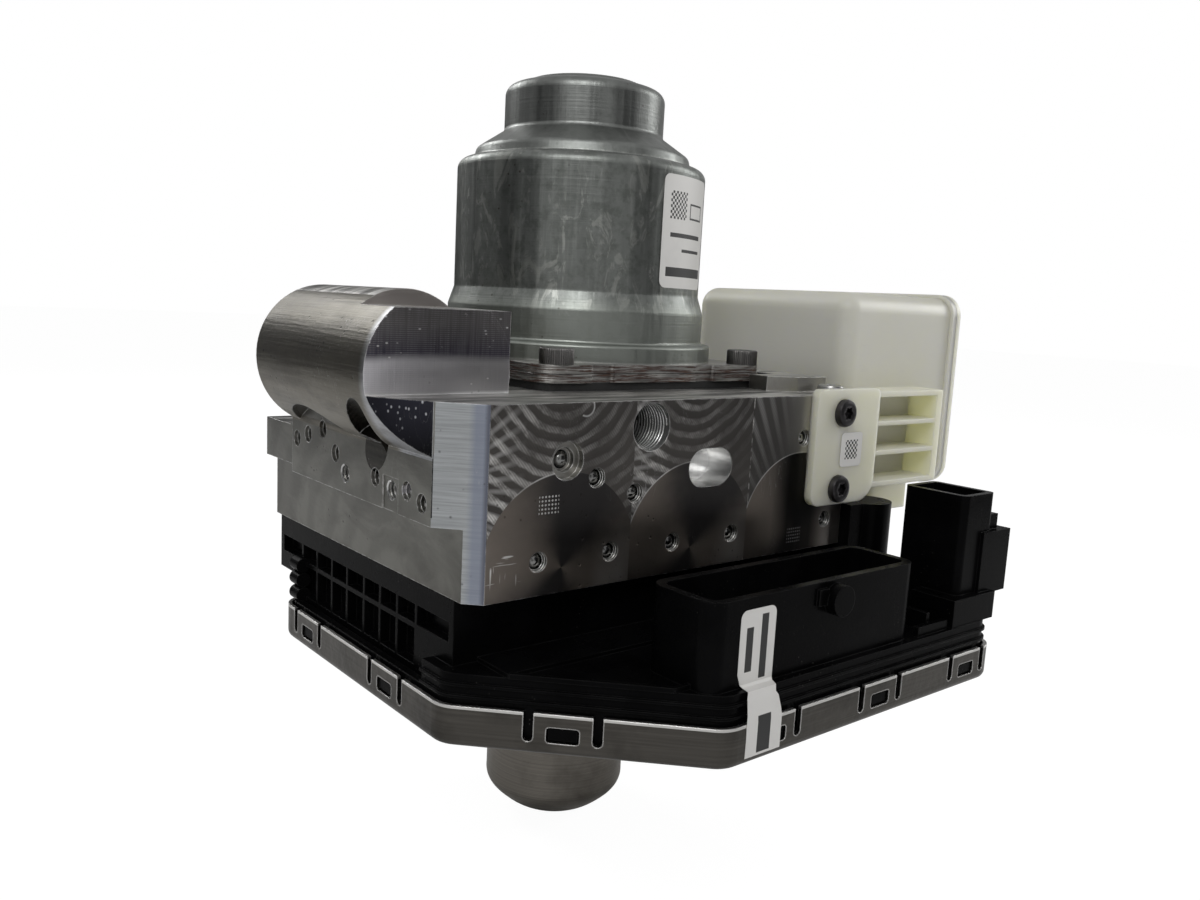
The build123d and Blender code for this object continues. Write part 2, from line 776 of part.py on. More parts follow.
# Master cylinder: secondary and primary pistons, springs, seals, push rod and its guide
secondary_front = -33.0
secondary_back = -15.0
primary_front = 2.0
primary_back = 20.0
spring_pocket = 7.0
guide_back = barrel_back - 1.0
guide_front = guide_back - 2.4
guide_radius = mouth_radius - press_gap
rod_radius = 4.0
rod_start = 12.0
rod_end = 44.0
knob_start = 38.0
knob_radius = 5.0
with BuildPart() as secondary_piston:
    barrel_turned(
        [
            (secondary_front, bore_radius),
            (secondary_back, bore_radius),
            (secondary_back, 0),
            (secondary_front + spring_pocket, 0),
            (secondary_front + spring_pocket, 8.0),
            (secondary_front, 8.0),
        ]
    )
secondary_piston.part.label = "secondary_piston"
export_step(secondary_piston.part, "parts/secondary_piston.step")

with BuildPart() as primary_piston:
    barrel_turned(
        [
            (primary_front, bore_radius),
            (primary_back, bore_radius),
            (primary_back, 5.2),
            (rod_start, 5.2),
            (rod_start, 0),
            (primary_front + spring_pocket, 0),
            (primary_front + spring_pocket, 8.0),
            (primary_front, 8.0),
        ]
    )
primary_piston.part.label = "primary_piston"
export_step(primary_piston.part, "parts/primary_piston.step")

with BuildPart() as secondary_spring:
    coil_spring(barrel_x, barrel_z, bore_end + 0.8, 15.0, 6.4, 0.7, 5)
secondary_spring.part.label = "secondary_spring"
export_step(secondary_spring.part, "parts/secondary_spring.step")

with BuildPart() as primary_spring:
    coil_spring(barrel_x, barrel_z, secondary_back + 0.8, 22.0, 6.4, 0.7, 6)
primary_spring.part.label = "primary_spring"
export_step(primary_spring.part, "parts/primary_spring.step")

with BuildPart() as piston_seals:
    for y in seal_rings:
        barrel_turned(
            [
                (y - seal_width, bore_radius + running_gap),
                (y, bore_radius + running_gap),
                (y, seal_radius),
                (y - seal_width, seal_radius),
            ]
        )
piston_seals.part.label = "piston_seals"
export_step(piston_seals.part, "parts/piston_seals.step")

with BuildPart() as push_rod:
    barrel_turned(
        [
            (rod_start, 0),
            (rod_start, 4.6),
            (rod_start + 3.0, 4.6),
            (rod_start + 3.0, rod_radius),
            (knob_start, rod_radius),
            (knob_start, knob_radius),
            (rod_end, knob_radius),
            (rod_end, 0),
        ]
    )
push_rod.part.label = "push_rod"
export_step(push_rod.part, "parts/push_rod.step")

with BuildPart() as rod_guide:
    barrel_turned(
        [
            (guide_front, knob_radius),
            (guide_back, knob_radius),
            (guide_back, guide_radius),
            (guide_front, guide_radius),
        ]
    )
rod_guide.part.label = "rod_guide"
export_step(rod_guide.part, "parts/rod_guide.step")

with BuildPart() as retaining_ring:
    with BuildSketch(at_y(barrel_back)):
        with Locations((barrel_x, barrel_z)):
            Circle(guide_radius)
            Circle(10.5, mode=Mode.SUBTRACT)
        with Locations((barrel_x, barrel_z - 12)):
            Rectangle(4, 6, mode=Mode.SUBTRACT)
    extrude(amount=barrel_back - guide_back)
retaining_ring.part.label = "retaining_ring"
export_step(retaining_ring.part, "parts/retaining_ring.step")

with BuildPart() as rod_boot:
    barrel_turned(
        [
            (barrel_back, 9.8),
            (barrel_back, 11.0),
            (barrel_back + 2.0, 11.0),
            (barrel_back + 3.5, 7.2),
            (barrel_back + 5.0, 9.6),
            (barrel_back + 6.5, 6.7),
            (barrel_back + 8.0, 8.6),
            (barrel_back + 9.5, 5.5),
            (barrel_back + 13.0, 5.5),
            (barrel_back + 13.0, rod_radius + running_gap),
            (barrel_back + 9.2, rod_radius + running_gap),
            (barrel_back + 8.0, 7.0),
            (barrel_back + 6.5, 5.2),
            (barrel_back + 5.0, 8.2),
            (barrel_back + 3.5, 5.8),
            (barrel_back + 1.4, 9.8),
        ]
    )
rod_boot.part.label = "rod_boot"
export_step(rod_boot.part, "parts/rod_boot.step")

# Pedal simulator: piston, spring and the plug that closes its bore at the back
piston_start = simulator_end + 2.0
piston_length = 18.0
pocket = 8.0
plug_length = 8.0
spring_start = piston_start + piston_length - pocket + 1.0
spring_end = block_back - plug_length - 1.0
with BuildPart() as simulator_piston:
    bars(at_y(piston_start), [(simulator_x, simulator_z)], simulator_radius, -piston_length)
    bars(at_y(piston_start + piston_length), [(simulator_x, simulator_z)], 7.6, pocket, mode=Mode.SUBTRACT)
simulator_piston.part.label = "simulator_piston"
export_step(simulator_piston.part, "parts/simulator_piston.step")

with BuildPart() as simulator_spring:
    coil_spring(simulator_x, simulator_z, spring_start, spring_end - spring_start, 6.4, 0.9, 9)
simulator_spring.part.label = "simulator_spring"
export_step(simulator_spring.part, "parts/simulator_spring.step")

with BuildPart() as simulator_plug:
    bars(at_y(block_back), [(simulator_x, simulator_z)], simulator_radius, plug_length)
    with BuildSketch(at_y(block_back)):
        with Locations((simulator_x, simulator_z)):
            RegularPolygon(4.0, 6)
    extrude(amount=3.0, mode=Mode.SUBTRACT)
simulator_plug.part.label = "simulator_plug"
export_step(simulator_plug.part, "parts/simulator_plug.step")

# Solenoid valves pressed into the block, each with a coil and a steel yoke round its dome
coil_height = coil_top - valve_bottom
dome_length = -block_height - valve_bottom
with BuildPart() as solenoid_valves:
    bars(at_z(-block_height), valve_spots, valve_radius, valve_seat_depth - 1)
    bars(at_z(valve_bottom), valve_spots, valve_dome_radius, dome_length)
    fillet(solenoid_valves.edges().group_by(Axis.Z)[0], radius=1.5)
solenoid_valves.part.label = "solenoid_valves"
export_step(solenoid_valves.part, "parts/solenoid_valves.step")

with BuildPart() as valve_coils:
    bars(at_z(valve_bottom + 1), valve_spots, coil_radius, coil_height - 2)
    bars(at_z(valve_bottom), valve_spots, valve_dome_radius + press_gap, coil_height, mode=Mode.SUBTRACT)
valve_coils.part.label = "valve_coils"
export_step(valve_coils.part, "parts/valve_coils.step")

with BuildPart() as coil_yokes:
    bars(at_z(valve_bottom), valve_spots, yoke_radius, coil_height)
    bars(at_z(valve_bottom + 1), valve_spots, coil_radius + press_gap, coil_height - 2, mode=Mode.SUBTRACT)
    bars(at_z(valve_bottom), valve_spots, valve_dome_radius + press_gap, coil_height, mode=Mode.SUBTRACT)
coil_yokes.part.label = "coil_yokes"
export_step(coil_yokes.part, "parts/coil_yokes.step")

with BuildPart() as pressure_sensors:
    bars(at_z(-block_height), sensor_spots, valve_radius, valve_seat_depth - 1)
    bars(at_z(valve_bottom), sensor_spots, valve_radius - 1, dome_length)
pressure_sensors.part.label = "pressure_sensors"
export_step(pressure_sensors.part, "parts/pressure_sensors.step")

# Contact pins of the sockets, as (x, y)
pin_rows = [socket_front + distance for distance in (7.0, 12.0, 17.0)]
tall_pin_rows = [tall_front + distance for distance in (7.0, 11.5, 16.0)]
signal_spots = [(socket_left + 10.5 + 4.4 * n, y) for n in range(12) for y in pin_rows]
power_spots = [(socket_right - 19.5, pin_rows[1]), (socket_right - 9.5, pin_rows[1])]
sensor_pin_spots = [(x, y) for x in (tall_left + 5.5, tall_right - 5.5) for y in tall_pin_rows]
signal_pin = (0.8, 0.8)
power_pin = (1.2, 8.0)
signal_hole = (signal_pin[0] + board_gap, signal_pin[1] + board_gap)
power_hole = (power_pin[0] + board_gap, power_pin[1] + board_gap)
pin_foot = base_top - 10.0


def blades(plane, spots, size, length, mode=Mode.ADD):
    """Square or flat contact pins from a plane along its normal."""
    with BuildSketch(plane) as ends:
        with Locations(*spots):
            Rectangle(*size)
    extrude(ends.sketch, amount=length, mode=mode)


with BuildPart() as signal_pins:
    blades(at_z(pin_foot), signal_spots, signal_pin, 24.0)
signal_pins.part.label = "signal_pins"
export_step(signal_pins.part, "parts/signal_pins.step")

with BuildPart() as power_pins:
    blades(at_z(pin_foot), power_spots, power_pin, 26.0)
power_pins.part.label = "power_pins"
export_step(power_pins.part, "parts/power_pins.step")

with BuildPart() as sensor_pins:
    blades(at_z(pin_foot), sensor_pin_spots, signal_pin, 38.0)
sensor_pins.part.label = "sensor_pins"
export_step(sensor_pins.part, "parts/sensor_pins.step")

# Clips: each face of the pan carries tongues with a window, and the housing has a lug in each window
cut_middle = (pan_left + pan_cut / 2, pan_front + pan_cut / 2)
front_clips = [-22.7, 23.6, 69.6]
side_clips = [-40.4, 12.3]
clip_faces = [
    (Plane(origin=(0, pan_front, 0), x_dir=(1, 0, 0), z_dir=(0, -1, 0)), front_clips),
    (Plane(origin=(0, pan_back, 0), x_dir=(-1, 0, 0), z_dir=(0, 1, 0)), [-60.0, 46.0]),
    (Plane(origin=(pan_left, 0, 0), x_dir=(0, -1, 0), z_dir=(-1, 0, 0)), [-y for y in side_clips]),
    (Plane(origin=(pan_right, 0, 0), x_dir=(0, 1, 0), z_dir=(1, 0, 0)), [-88.0, -10.0]),
    (Plane(origin=(*cut_middle, 0), x_dir=(1, -1, 0), z_dir=(-1, -1, 0)), [-4.8]),
]
window_width = 8.6
window_top = pan_rim - 3.6
window_bottom = pan_rim - 7.7
slot_offset = 9.05
slot_width = 2.6
slot_round = pan_rim - 7.8 + slot_width / 2

# Cells in the housing's left wall: ribs between them, as y
cell_ribs = [46.0, 29.4, 18.1, 6.7, -4.2, -15.8, -26.2, -36.7, -47.7, -65.9]
rib_half = 0.6
cell_depth = 3.2
cavity_left = frame_left + 8.8
cavity_bottom = base_top + 1.0
room_foot = base_top - 9.0
boss_radius = 4.8
frame_height = -block_height - base_top

# Control unit housing
with BuildPart() as ecu_housing:
    # Base with its skirt and the fine ribs round it
    extrude(pan_plan(at_z(skirt_bottom), skirt_gap), amount=base_top - skirt_bottom)
    for level in (base_top - 3.2, base_top - 6.4):
        extrude(pan_plan(at_z(level), skirt_gap - 0.8), amount=0.8)
    # The left side is set back above the pan
    slab(at_z(base_top - 7), (pan_left, -58.0), (frame_left, pan_back), 8.0, mode=Mode.SUBTRACT)
    # Electronics room inside the skirt, with a solid wall behind the lower cells
    extrude(
        pan_plan(at_z(skirt_bottom), skirt_gap + skirt_wall),
        amount=base_top - base_floor - skirt_bottom,
        mode=Mode.SUBTRACT,
    )
    slab(at_z(base_top - 8.5), (frame_left, -62.0), (cavity_left - 2, pan_back - skirt_gap - 0.5), 8.5)
    # Frame between base and block, and the low step along its front
    slab(at_z(base_top), (frame_left, frame_front), (frame_right, frame_back), frame_height)
    slab(at_z(base_top), (-80.0, -82.0), (57.0, frame_front), 1.2)
    # Two rows of cells in the left wall
    for back, front in zip(cell_ribs, cell_ribs[1:]):
        slab(
            at_x(frame_left),
            (front + rib_half, base_top + 6.0),
            (back - rib_half, base_top + 11.5),
            cell_depth,
            mode=Mode.SUBTRACT,
        )
        if back < pan_back - 0.5 and front > -60:
            slab(
                at_x(frame_left),
                (front + rib_half, base_top - 5.8),
                (back - rib_half, base_top + 4.6),
                cell_depth,
                mode=Mode.SUBTRACT,
            )
    # Room for the coils, the passage of the pump cylinder and the screw bosses
    slab(
        at_z(cavity_bottom),
        (cavity_left, frame_front + 5),
        (frame_right - 3.5, frame_back - 5),
        -block_height - cavity_bottom,
        mode=Mode.SUBTRACT,
    )
    bars(at_z(cavity_bottom), housing_screws_at, boss_radius, -block_height - cavity_bottom)
    bars(at_z(room_foot), housing_screws_at, 2.1, -block_height - room_foot, mode=Mode.SUBTRACT)
    bars(at_z(room_foot), [(0, 0)], cylinder_radius + 1, -block_height - room_foot, mode=Mode.SUBTRACT)
    # Large socket with a round peg on its front
    socket_height = socket_top - base_top
    slab(at_z(base_top), (socket_left, socket_front), (socket_right, socket_back), socket_height, corner=5)
    slab(
        at_z(base_top + 2),
        (socket_left + socket_wall, socket_front + socket_wall),
        (socket_right - socket_wall, socket_back - socket_wall),
        socket_height,
        corner=3,
        mode=Mode.SUBTRACT,
    )
    bars(at_y(socket_front), [(4.0, socket_top - 5.5)], 4.5, 3.5)
    slab(at_y(socket_front), (-4.0, socket_top - 6.5), (0.0, socket_top - 1.8), 1.0)
    # Tall socket on its pedestal, with a rail on the right
    pedestal_right = tall_right + 0.5
    pedestal_height = tall_foot - base_top
    slab(at_z(base_top), (pedestal_left, pedestal_front), (pedestal_right, pedestal_back), pedestal_height)
    slab(at_z(base_top), (tall_left, tall_front), (tall_right, tall_back), tall_top - base_top, corner=2.5)
    slab(
        at_z(tall_foot + 6),
        (tall_left + tall_wall, tall_front + tall_wall),
        (tall_right - tall_wall, tall_back - tall_wall),
        tall_top - tall_foot,
        corner=1.5,
        mode=Mode.SUBTRACT,
    )
    rail_foot = tall_foot - 1.0
    rail_height = 21.0
    rail_front = tall_front - 1.2
    slab(at_z(rail_foot), (tall_right - 7.0, rail_front), (tall_right, tall_front + 0.2), rail_height)
    slab(at_z(rail_foot), (tall_right - 1, rail_front), (tall_right + 9.5, tall_front + 9.0), rail_height)
    slab(
        at_z(rail_foot + rail_height),
        (tall_right - 1, rail_front + 2.5),
        (tall_right + 5.0, rail_front + 7.5),
        5.0,
    )
    # Pillar and lug on the base, right of the block and up to the reservoir's bracket
    bars(at_z(base_top), [(tank_left + 6.0, block_front)], 8.5, bracket_bottom - 1 - base_top)
    slab(
        at_z(base_top),
        (block_right + 0.5, block_front - 4.0),
        (block_right + 9.5, block_front + 8.5),
        bracket_bottom - 1 - base_top,
    )
    # Ridges on the base: one along the cut corner, two along the front
    prism(at_z(base_top), [(-80.0, -82.5), (-79.0, -81.5), (-49.0, -111.5), (-50.0, -112.5)], 1.4)
    slab(at_z(base_top), (-49.6, -112.6), (-44.0, -111.4), 1.4)
    slab(at_z(base_top), (46.0, -120.0), (62.0, -118.0), 3.0)
    slab(at_z(base_top), (53.0, -118.0), (54.5, -96.0), 6.0)
    # Round beads at the far left corner
    for level in (base_top + 5.0, base_top, base_top - 5.0):
        bars(at_y(pan_back - 3.0), [(frame_left - 1.2, level)], 2.4, 6.0)
    # Clip lugs
    for face, spots in clip_faces:
        with BuildSketch(face.offset(-skirt_gap - 0.3)) as lugs:
            with Locations(*[(spot, (window_top + window_bottom) / 2) for spot in spots]):
                Rectangle(window_width - 1, window_top - window_bottom - 1)
        extrude(lugs.sketch, amount=skirt_gap - 0.3)
    # Passages for the contact pins
    blades(at_z(room_foot), signal_spots, signal_hole, 14.0, mode=Mode.SUBTRACT)
    blades(at_z(room_foot), power_spots, power_hole, 14.0, mode=Mode.SUBTRACT)
    blades(at_z(room_foot), sensor_pin_spots, signal_hole, tall_foot + 8 - room_foot, mode=Mode.SUBTRACT)
ecu_housing.part.label = "ecu_housing"
export_step(ecu_housing.part, "parts/ecu_housing.step")

# Screws that hold the housing to the block, reached from the electronics room
small_head_top = base_top - base_floor
small_head_height = 3.2
with BuildPart() as housing_screws:
    bars(at_z(small_head_top - small_head_height), housing_screws_at, 3.8, small_head_height)
    bars(at_z(small_head_top), housing_screws_at, 2.0, 10.5 - block_height - small_head_top)
    with BuildSketch(at_z(small_head_top - small_head_height)):
        with Locations(*housing_screws_at):
            RegularPolygon(1.9, 6)
    extrude(amount=1.8, mode=Mode.SUBTRACT)
housing_screws.part.label = "housing_screws"
export_step(housing_screws.part, "parts/housing_screws.step")

# Circuit board, with its chips below and its capacitors above
board_top = pin_foot
board_thickness = 1.6
board_inset = 5.2
board_bottom = board_top - board_thickness
with BuildPart() as circuit_board:
    extrude(pan_plan(at_z(board_bottom), board_inset), amount=board_thickness)
    bars(at_z(board_bottom), [(0, 0)], cylinder_radius + 3, board_thickness, mode=Mode.SUBTRACT)
circuit_board.part.label = "circuit_board"
export_step(circuit_board.part, "parts/circuit_board.step")

chip_height = 2.0
chips = [(-60.0, -40.0, 14.0), (-60.0, -10.0, 10.0), (50.0, -60.0, 18.0), (55.0, -20.0, 12.0)]
chips += [(0.0, -60.0, 12.0), (-30.0, -75.0, 8.0), (30.0, -80.0, 8.0), (60.0, 10.0, 9.0)]
with BuildPart() as board_chips:
    for x, y, side in chips:
        low = (x - side / 2, y - side / 2)
        high = (x + side / 2, y + side / 2)
        slab(at_z(board_bottom - chip_height), low, high, chip_height)
board_chips.part.label = "board_chips"
export_step(board_chips.part, "parts/board_chips.step")

can_size = 3.4
with BuildPart() as capacitors:
    rows = [(y, board_top + can_size) for y in (-70.0, -61.0, -52.0)]
    bars(at_x(pan_right - 32.2), rows, can_size, 20.0)
capacitors.part.label = "capacitors"
export_step(capacitors.part, "parts/capacitors.step")

# Pan: drawn sheet with a rounded bottom edge, clip tongues and a hole for the pump cylinder
with BuildPart() as cover:
    extrude(pan_plan(at_z(pan_bottom), 0), amount=pan_rim - pan_bottom)
    fillet(cover.faces().sort_by(Axis.Z)[0].edges(), radius=2.6)
    offset(amount=-pan_wall, openings=cover.faces().sort_by(Axis.Z)[-1])
    bars(at_z(pan_bottom), [(0, 0)], cylinder_radius + 0.7, 4.0, mode=Mode.SUBTRACT)
    for face, spots in clip_faces:
        with BuildSketch(face.offset(1)) as openings:
            with Locations(*[(spot, (window_top + window_bottom) / 2) for spot in spots]):
                RectangleRounded(window_width, window_top - window_bottom, 0.9)
            for side in (-slot_offset, slot_offset):
                with Locations(*[(spot + side, slot_round) for spot in spots]):
                    Circle(slot_width / 2)
                with Locations(*[(spot + side, (pan_rim + 1 + slot_round) / 2) for spot in spots]):
                    Rectangle(slot_width, pan_rim + 1 - slot_round)
        extrude(openings.sketch, amount=-pan_wall - 2, mode=Mode.SUBTRACT)
cover.part.label = "cover"
export_step(cover.part, "parts/cover.step")

# Seals inside the pan: one under the skirt, one round the pump cylinder
seal_inset = 3.3
pan_floor = pan_bottom + pan_wall
with BuildPart() as cover_seal:
    extrude(pan_plan(at_z(pan_floor), seal_inset), amount=skirt_bottom - pan_floor)
    extrude(
        pan_plan(at_z(pan_floor), skirt_gap + skirt_wall),
        amount=skirt_bottom - pan_floor,
        mode=Mode.SUBTRACT,
    )
cover_seal.part.label = "cover_seal"
export_step(cover_seal.part, "parts/cover_seal.step")

with BuildPart() as cylinder_seal:
    tube(cylinder_radius + 3, cylinder_radius + press_gap, pan_bottom + pan_wall, pan_bottom + 5)
cylinder_seal.part.label = "cylinder_seal"
export_step(cylinder_seal.part, "parts/cylinder_seal.step")

# Reservoir: thin-walled tank, front ribs and the bracket plate, moulded in one piece
level_spot = (-26.0, -5.0)
level_radius = 4.0
rib_right = 112.5
rib_root = tank_front + 0.5
rib_depth = rib_root - rib_front
with BuildPart() as reservoir_body:
    tank_length = tank_right - tank_left
    slab(at_x(tank_left), (tank_front, tank_bottom), (tank_back, tank_top), tank_length, corner=seam_radius)
    fillet(reservoir_body.faces().sort_by(Axis.X)[0].edges(), radius=6.5)
    offset(amount=-tank_wall, openings=reservoir_body.faces().sort_by(Axis.X)[-1])
    # Welding flange
    with BuildSketch(at_x(tank_right - flange_thickness)) as flange:
        with Locations(((tank_front + tank_back) / 2, (tank_bottom + tank_top) / 2)):
            RectangleRounded(
                tank_back - tank_front + 2 * flange_out,
                tank_top - tank_bottom + 2 * flange_out,
                seam_radius + flange_out,
            )
            RectangleRounded(
                tank_back - tank_front - 2 * tank_wall,
                tank_top - tank_bottom - 2 * tank_wall,
                seam_radius - tank_wall,
                mode=Mode.SUBTRACT,
            )
    extrude(flange.sketch, amount=flange_thickness)
    # Foot under the tank
    foot_left = tank_left + 24.0
    slab(at_z(tank_bottom), (foot_left, tank_front + 2.0), (foot_left + 25.5, tank_front + 14.0), -9.5, corner=3)
    # Ribs and border strip in front of the tank
    for low, high in ((-1.0, 1.0), (-11.2, -9.6), (-21.7, -20.0), (-33.0, -31.2)):
        slab(at_y(rib_root), (tank_left, low), (rib_right, high), rib_depth)
    slab(at_y(rib_root), (rib_right, -33.0), (rib_right + 3.5, 1.0), rib_depth)
    slab(at_y(rib_root), (tank_left, -33.0), (tank_left + 2, 1.0), rib_depth)
    # Bracket plate over the block's front face
    with BuildSketch(at_y(block_front)) as plate:
        with Locations(((bracket_left + bracket_right) / 2, (bracket_top + bracket_bottom) / 2)):
            Rectangle(bracket_right - bracket_left, bracket_top - bracket_bottom)
        fillet(plate.vertices().group_by(Axis.Y)[-1], radius=2.5)
        fillet(plate.vertices().sort_by_distance((bracket_left, bracket_bottom))[0], radius=4)
        fillet(plate.vertices().sort_by_distance((bracket_right, bracket_bottom))[0], radius=8)
        with Locations(*bracket_screws_at):
            Circle(2.7, mode=Mode.SUBTRACT)
    extrude(plate.sketch, amount=block_front - bracket_front)
    # Outlets towards the block, and the hole for the level switch
    bars(at_x(tank_left + 1), outlet_spots, outlet_radius, -16.0)
    bars(at_x(tank_left + 5), outlet_spots, outlet_radius - 1.5, -22.0, mode=Mode.SUBTRACT)
    bars(at_x(tank_left - 1), [level_spot], level_radius + press_gap, 5.0, mode=Mode.SUBTRACT)
reservoir_body.part.label = "reservoir_body"
export_step(reservoir_body.part, "parts/reservoir_body.step")

# Reservoir lid, welded on at the flange, with the filler neck
neck_spot = (-9.0, 0.0)
dome_inset = 12.0
dome_right = tank_right + 11.6
neck_right = dome_right + 14.4
filler_radius = 15.0
with BuildPart() as reservoir_lid:
    slab(
        at_x(tank_right),
        (tank_front - flange_out, tank_bottom - flange_out),
        (tank_back + flange_out, tank_top + flange_out),
        flange_thickness,
        corner=seam_radius + flange_out,
    )
    slab(
        at_x(tank_right),
        (tank_front + dome_inset, tank_bottom + dome_inset),
        (tank_back - 1, tank_top - dome_inset),
        dome_right - tank_right,
        corner=6,
    )
    bars(at_x(tank_right), [neck_spot], filler_radius, neck_right - tank_right)
    slab(
        at_x(tank_right),
        (tank_front + dome_inset + tank_wall, tank_bottom + dome_inset + tank_wall),
        (tank_back - 1 - tank_wall, tank_top - dome_inset - tank_wall),
        dome_right - tank_wall - tank_right,
        corner=4,
        mode=Mode.SUBTRACT,
    )
    neck_inner = filler_radius - tank_wall
    bars(at_x(tank_right), [neck_spot], neck_inner, neck_right - tank_right, mode=Mode.SUBTRACT)
reservoir_lid.part.label = "reservoir_lid"
export_step(reservoir_lid.part, "parts/reservoir_lid.step")

# Filler cap with grip flutes
cap_left = neck_right - 9.0
cap_right = neck_right + 7.0
cap_radius = 19.0
thread_length = neck_right + wall_gap - cap_left
with BuildPart() as filler_cap:
    bars(at_x(cap_left), [neck_spot], cap_radius, cap_right - cap_left)
    bars(at_x(cap_left), [neck_spot], filler_radius + wall_gap, thread_length, mode=Mode.SUBTRACT)
    with BuildSketch(at_x(cap_left)) as flutes:
        with Locations(neck_spot):
            with PolarLocations(cap_radius + 1.2, 18):
                Circle(1.9)
    extrude(flutes.sketch, amount=cap_right - cap_left - 3, mode=Mode.SUBTRACT)
filler_cap.part.label = "filler_cap"
export_step(filler_cap.part, "parts/filler_cap.step")

# Level switch: post along X through the tank's wall; a ring float slides on it
switch_start = tank_left - 4.0
switch_end = tank_left + 48.5
with BuildPart() as level_switch:
    bars(at_x(switch_start), [level_spot], 7.0, tank_left - switch_start)
    bars(at_x(switch_start), [level_spot], level_radius, switch_end - switch_start)
    bars(at_x(switch_end - 2), [level_spot], 6.0, 2.0)
level_switch.part.label = "level_switch"
export_step(level_switch.part, "parts/level_switch.step")

float_left = tank_left + 26.5
float_length = 12.0
with BuildPart() as float_ring:
    bars(at_x(float_left), [level_spot], 13.0, float_length)
    bars(at_x(float_left), [level_spot], level_radius + wall_gap, float_length, mode=Mode.SUBTRACT)
float_ring.part.label = "float"
export_step(float_ring.part, "parts/float.step")

# Rubber grommets between the outlets and the block
with BuildPart() as outlet_grommets:
    bars(at_x(block_right - grommet_depth), outlet_spots, grommet_radius, grommet_depth)
    bars(at_x(block_right), outlet_spots, grommet_radius + 1.5, grommet_collar)
    grommet_length = grommet_depth + grommet_collar
    bars(
        at_x(block_right - grommet_depth),
        outlet_spots,
        outlet_radius + press_gap,
        grommet_length,
        mode=Mode.SUBTRACT,
    )
outlet_grommets.part.label = "outlet_grommets"
export_step(outlet_grommets.part, "parts/outlet_grommets.step")

# Bracket screws: domed heads with a six-point socket
pan_head_height = 2.4
with BuildPart() as bracket_screws:
    bars(at_y(bracket_front), bracket_screws_at, 4.7, pan_head_height)
    fillet(bracket_screws.faces().group_by(Axis.Y)[0].edges(), radius=1.4)
    bars(at_y(bracket_front), bracket_screws_at, 2.5, -13.0)
    with BuildSketch(at_y(bracket_front - pan_head_height)) as sockets:
        with Locations(*bracket_screws_at):
            RegularPolygon(2.1, 6)
    extrude(sockets.sketch, amount=-1.6, mode=Mode.SUBTRACT)
bracket_screws.part.label = "bracket_screws"
export_step(bracket_screws.part, "parts/bracket_screws.step")

# Silver screw on the block's front right corner
with BuildPart() as pad_screw:
    bars(at_z(0), pad_screw_spot, 4.45, 3.0)
    fillet(pad_screw.faces().sort_by(Axis.Z)[-1].edges(), radius=1.2)
    bars(at_z(0), pad_screw_spot, 2.5, -2.9)
    with BuildSketch(at_z(3.0)):
        with Locations(*pad_screw_spot):
            RegularPolygon(2.0, 6)
    extrude(amount=-1.6, mode=Mode.SUBTRACT)
pad_screw.part.label = "pad_screw"
export_step(pad_screw.part, "parts/pad_screw.step")

# Stickers: a wrapped one on the can, a small one on the bracket plate, a seal strip over socket and pan
sticker = 0.12
label_bottom = 32.5
label_top = can_shoulder - 3.9
with BuildPart() as motor_label:
    with BuildSketch(Plane(origin=(0, 0, 0), x_dir=(0, -1, 0), z_dir=(-1, 0, 0))) as strip:
        with Locations((can_radius + label_gap + sticker / 2, (label_bottom + label_top) / 2)):
            Rectangle(sticker, label_top - label_bottom)
    revolve(strip.sketch, Axis.Z, revolution_arc=38.0)
motor_label.part.label = "motor_label"
export_step(motor_label.part, "parts/motor_label.step")

with BuildPart() as code_label:
    code_right = bracket_right - 8.5
    code_top = bracket_top - 14.8
    code_low = (code_right - 11.5, code_top - 11.7)
    slab(at_y(bracket_front), code_low, (code_right, code_top), sticker, corner=1.5)
code_label.part.label = "code_label"
export_step(code_label.part, "parts/code_label.step")

strip_left = socket_left + 10.3
strip_right = strip_left + 14.5
strip_top = socket_top + 0.4
strip_bottom = pan_rim - 8.6
socket_face = socket_front - label_gap
base_face = base_top + label_gap
pan_face = pan_front - label_gap
step_edge = pan_front + skirt_gap - 0.9
with BuildPart() as seal_strip:
    prism(
        at_x(strip_left),
        [
            (socket_face, strip_top),
            (socket_face, base_face),
            (step_edge, base_face),
            (pan_face, pan_rim + 0.1),
            (pan_face, strip_bottom),
            (pan_face - sticker, strip_bottom),
            (pan_face - sticker, pan_rim + 0.15),
            (step_edge - 0.05, base_face + sticker),
            (socket_face - sticker, base_face + sticker),
            (socket_face - sticker, strip_top),
        ],
        strip_right - strip_left,
    )
seal_strip.part.label = "seal_strip"
export_step(seal_strip.part, "parts/seal_strip.step")
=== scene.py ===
"""Looks of the electro-hydraulic brake unit, laid out as an add-on and run as a script."""

import json
import math

import bmesh
import bpy
from mathutils import Matrix, Vector

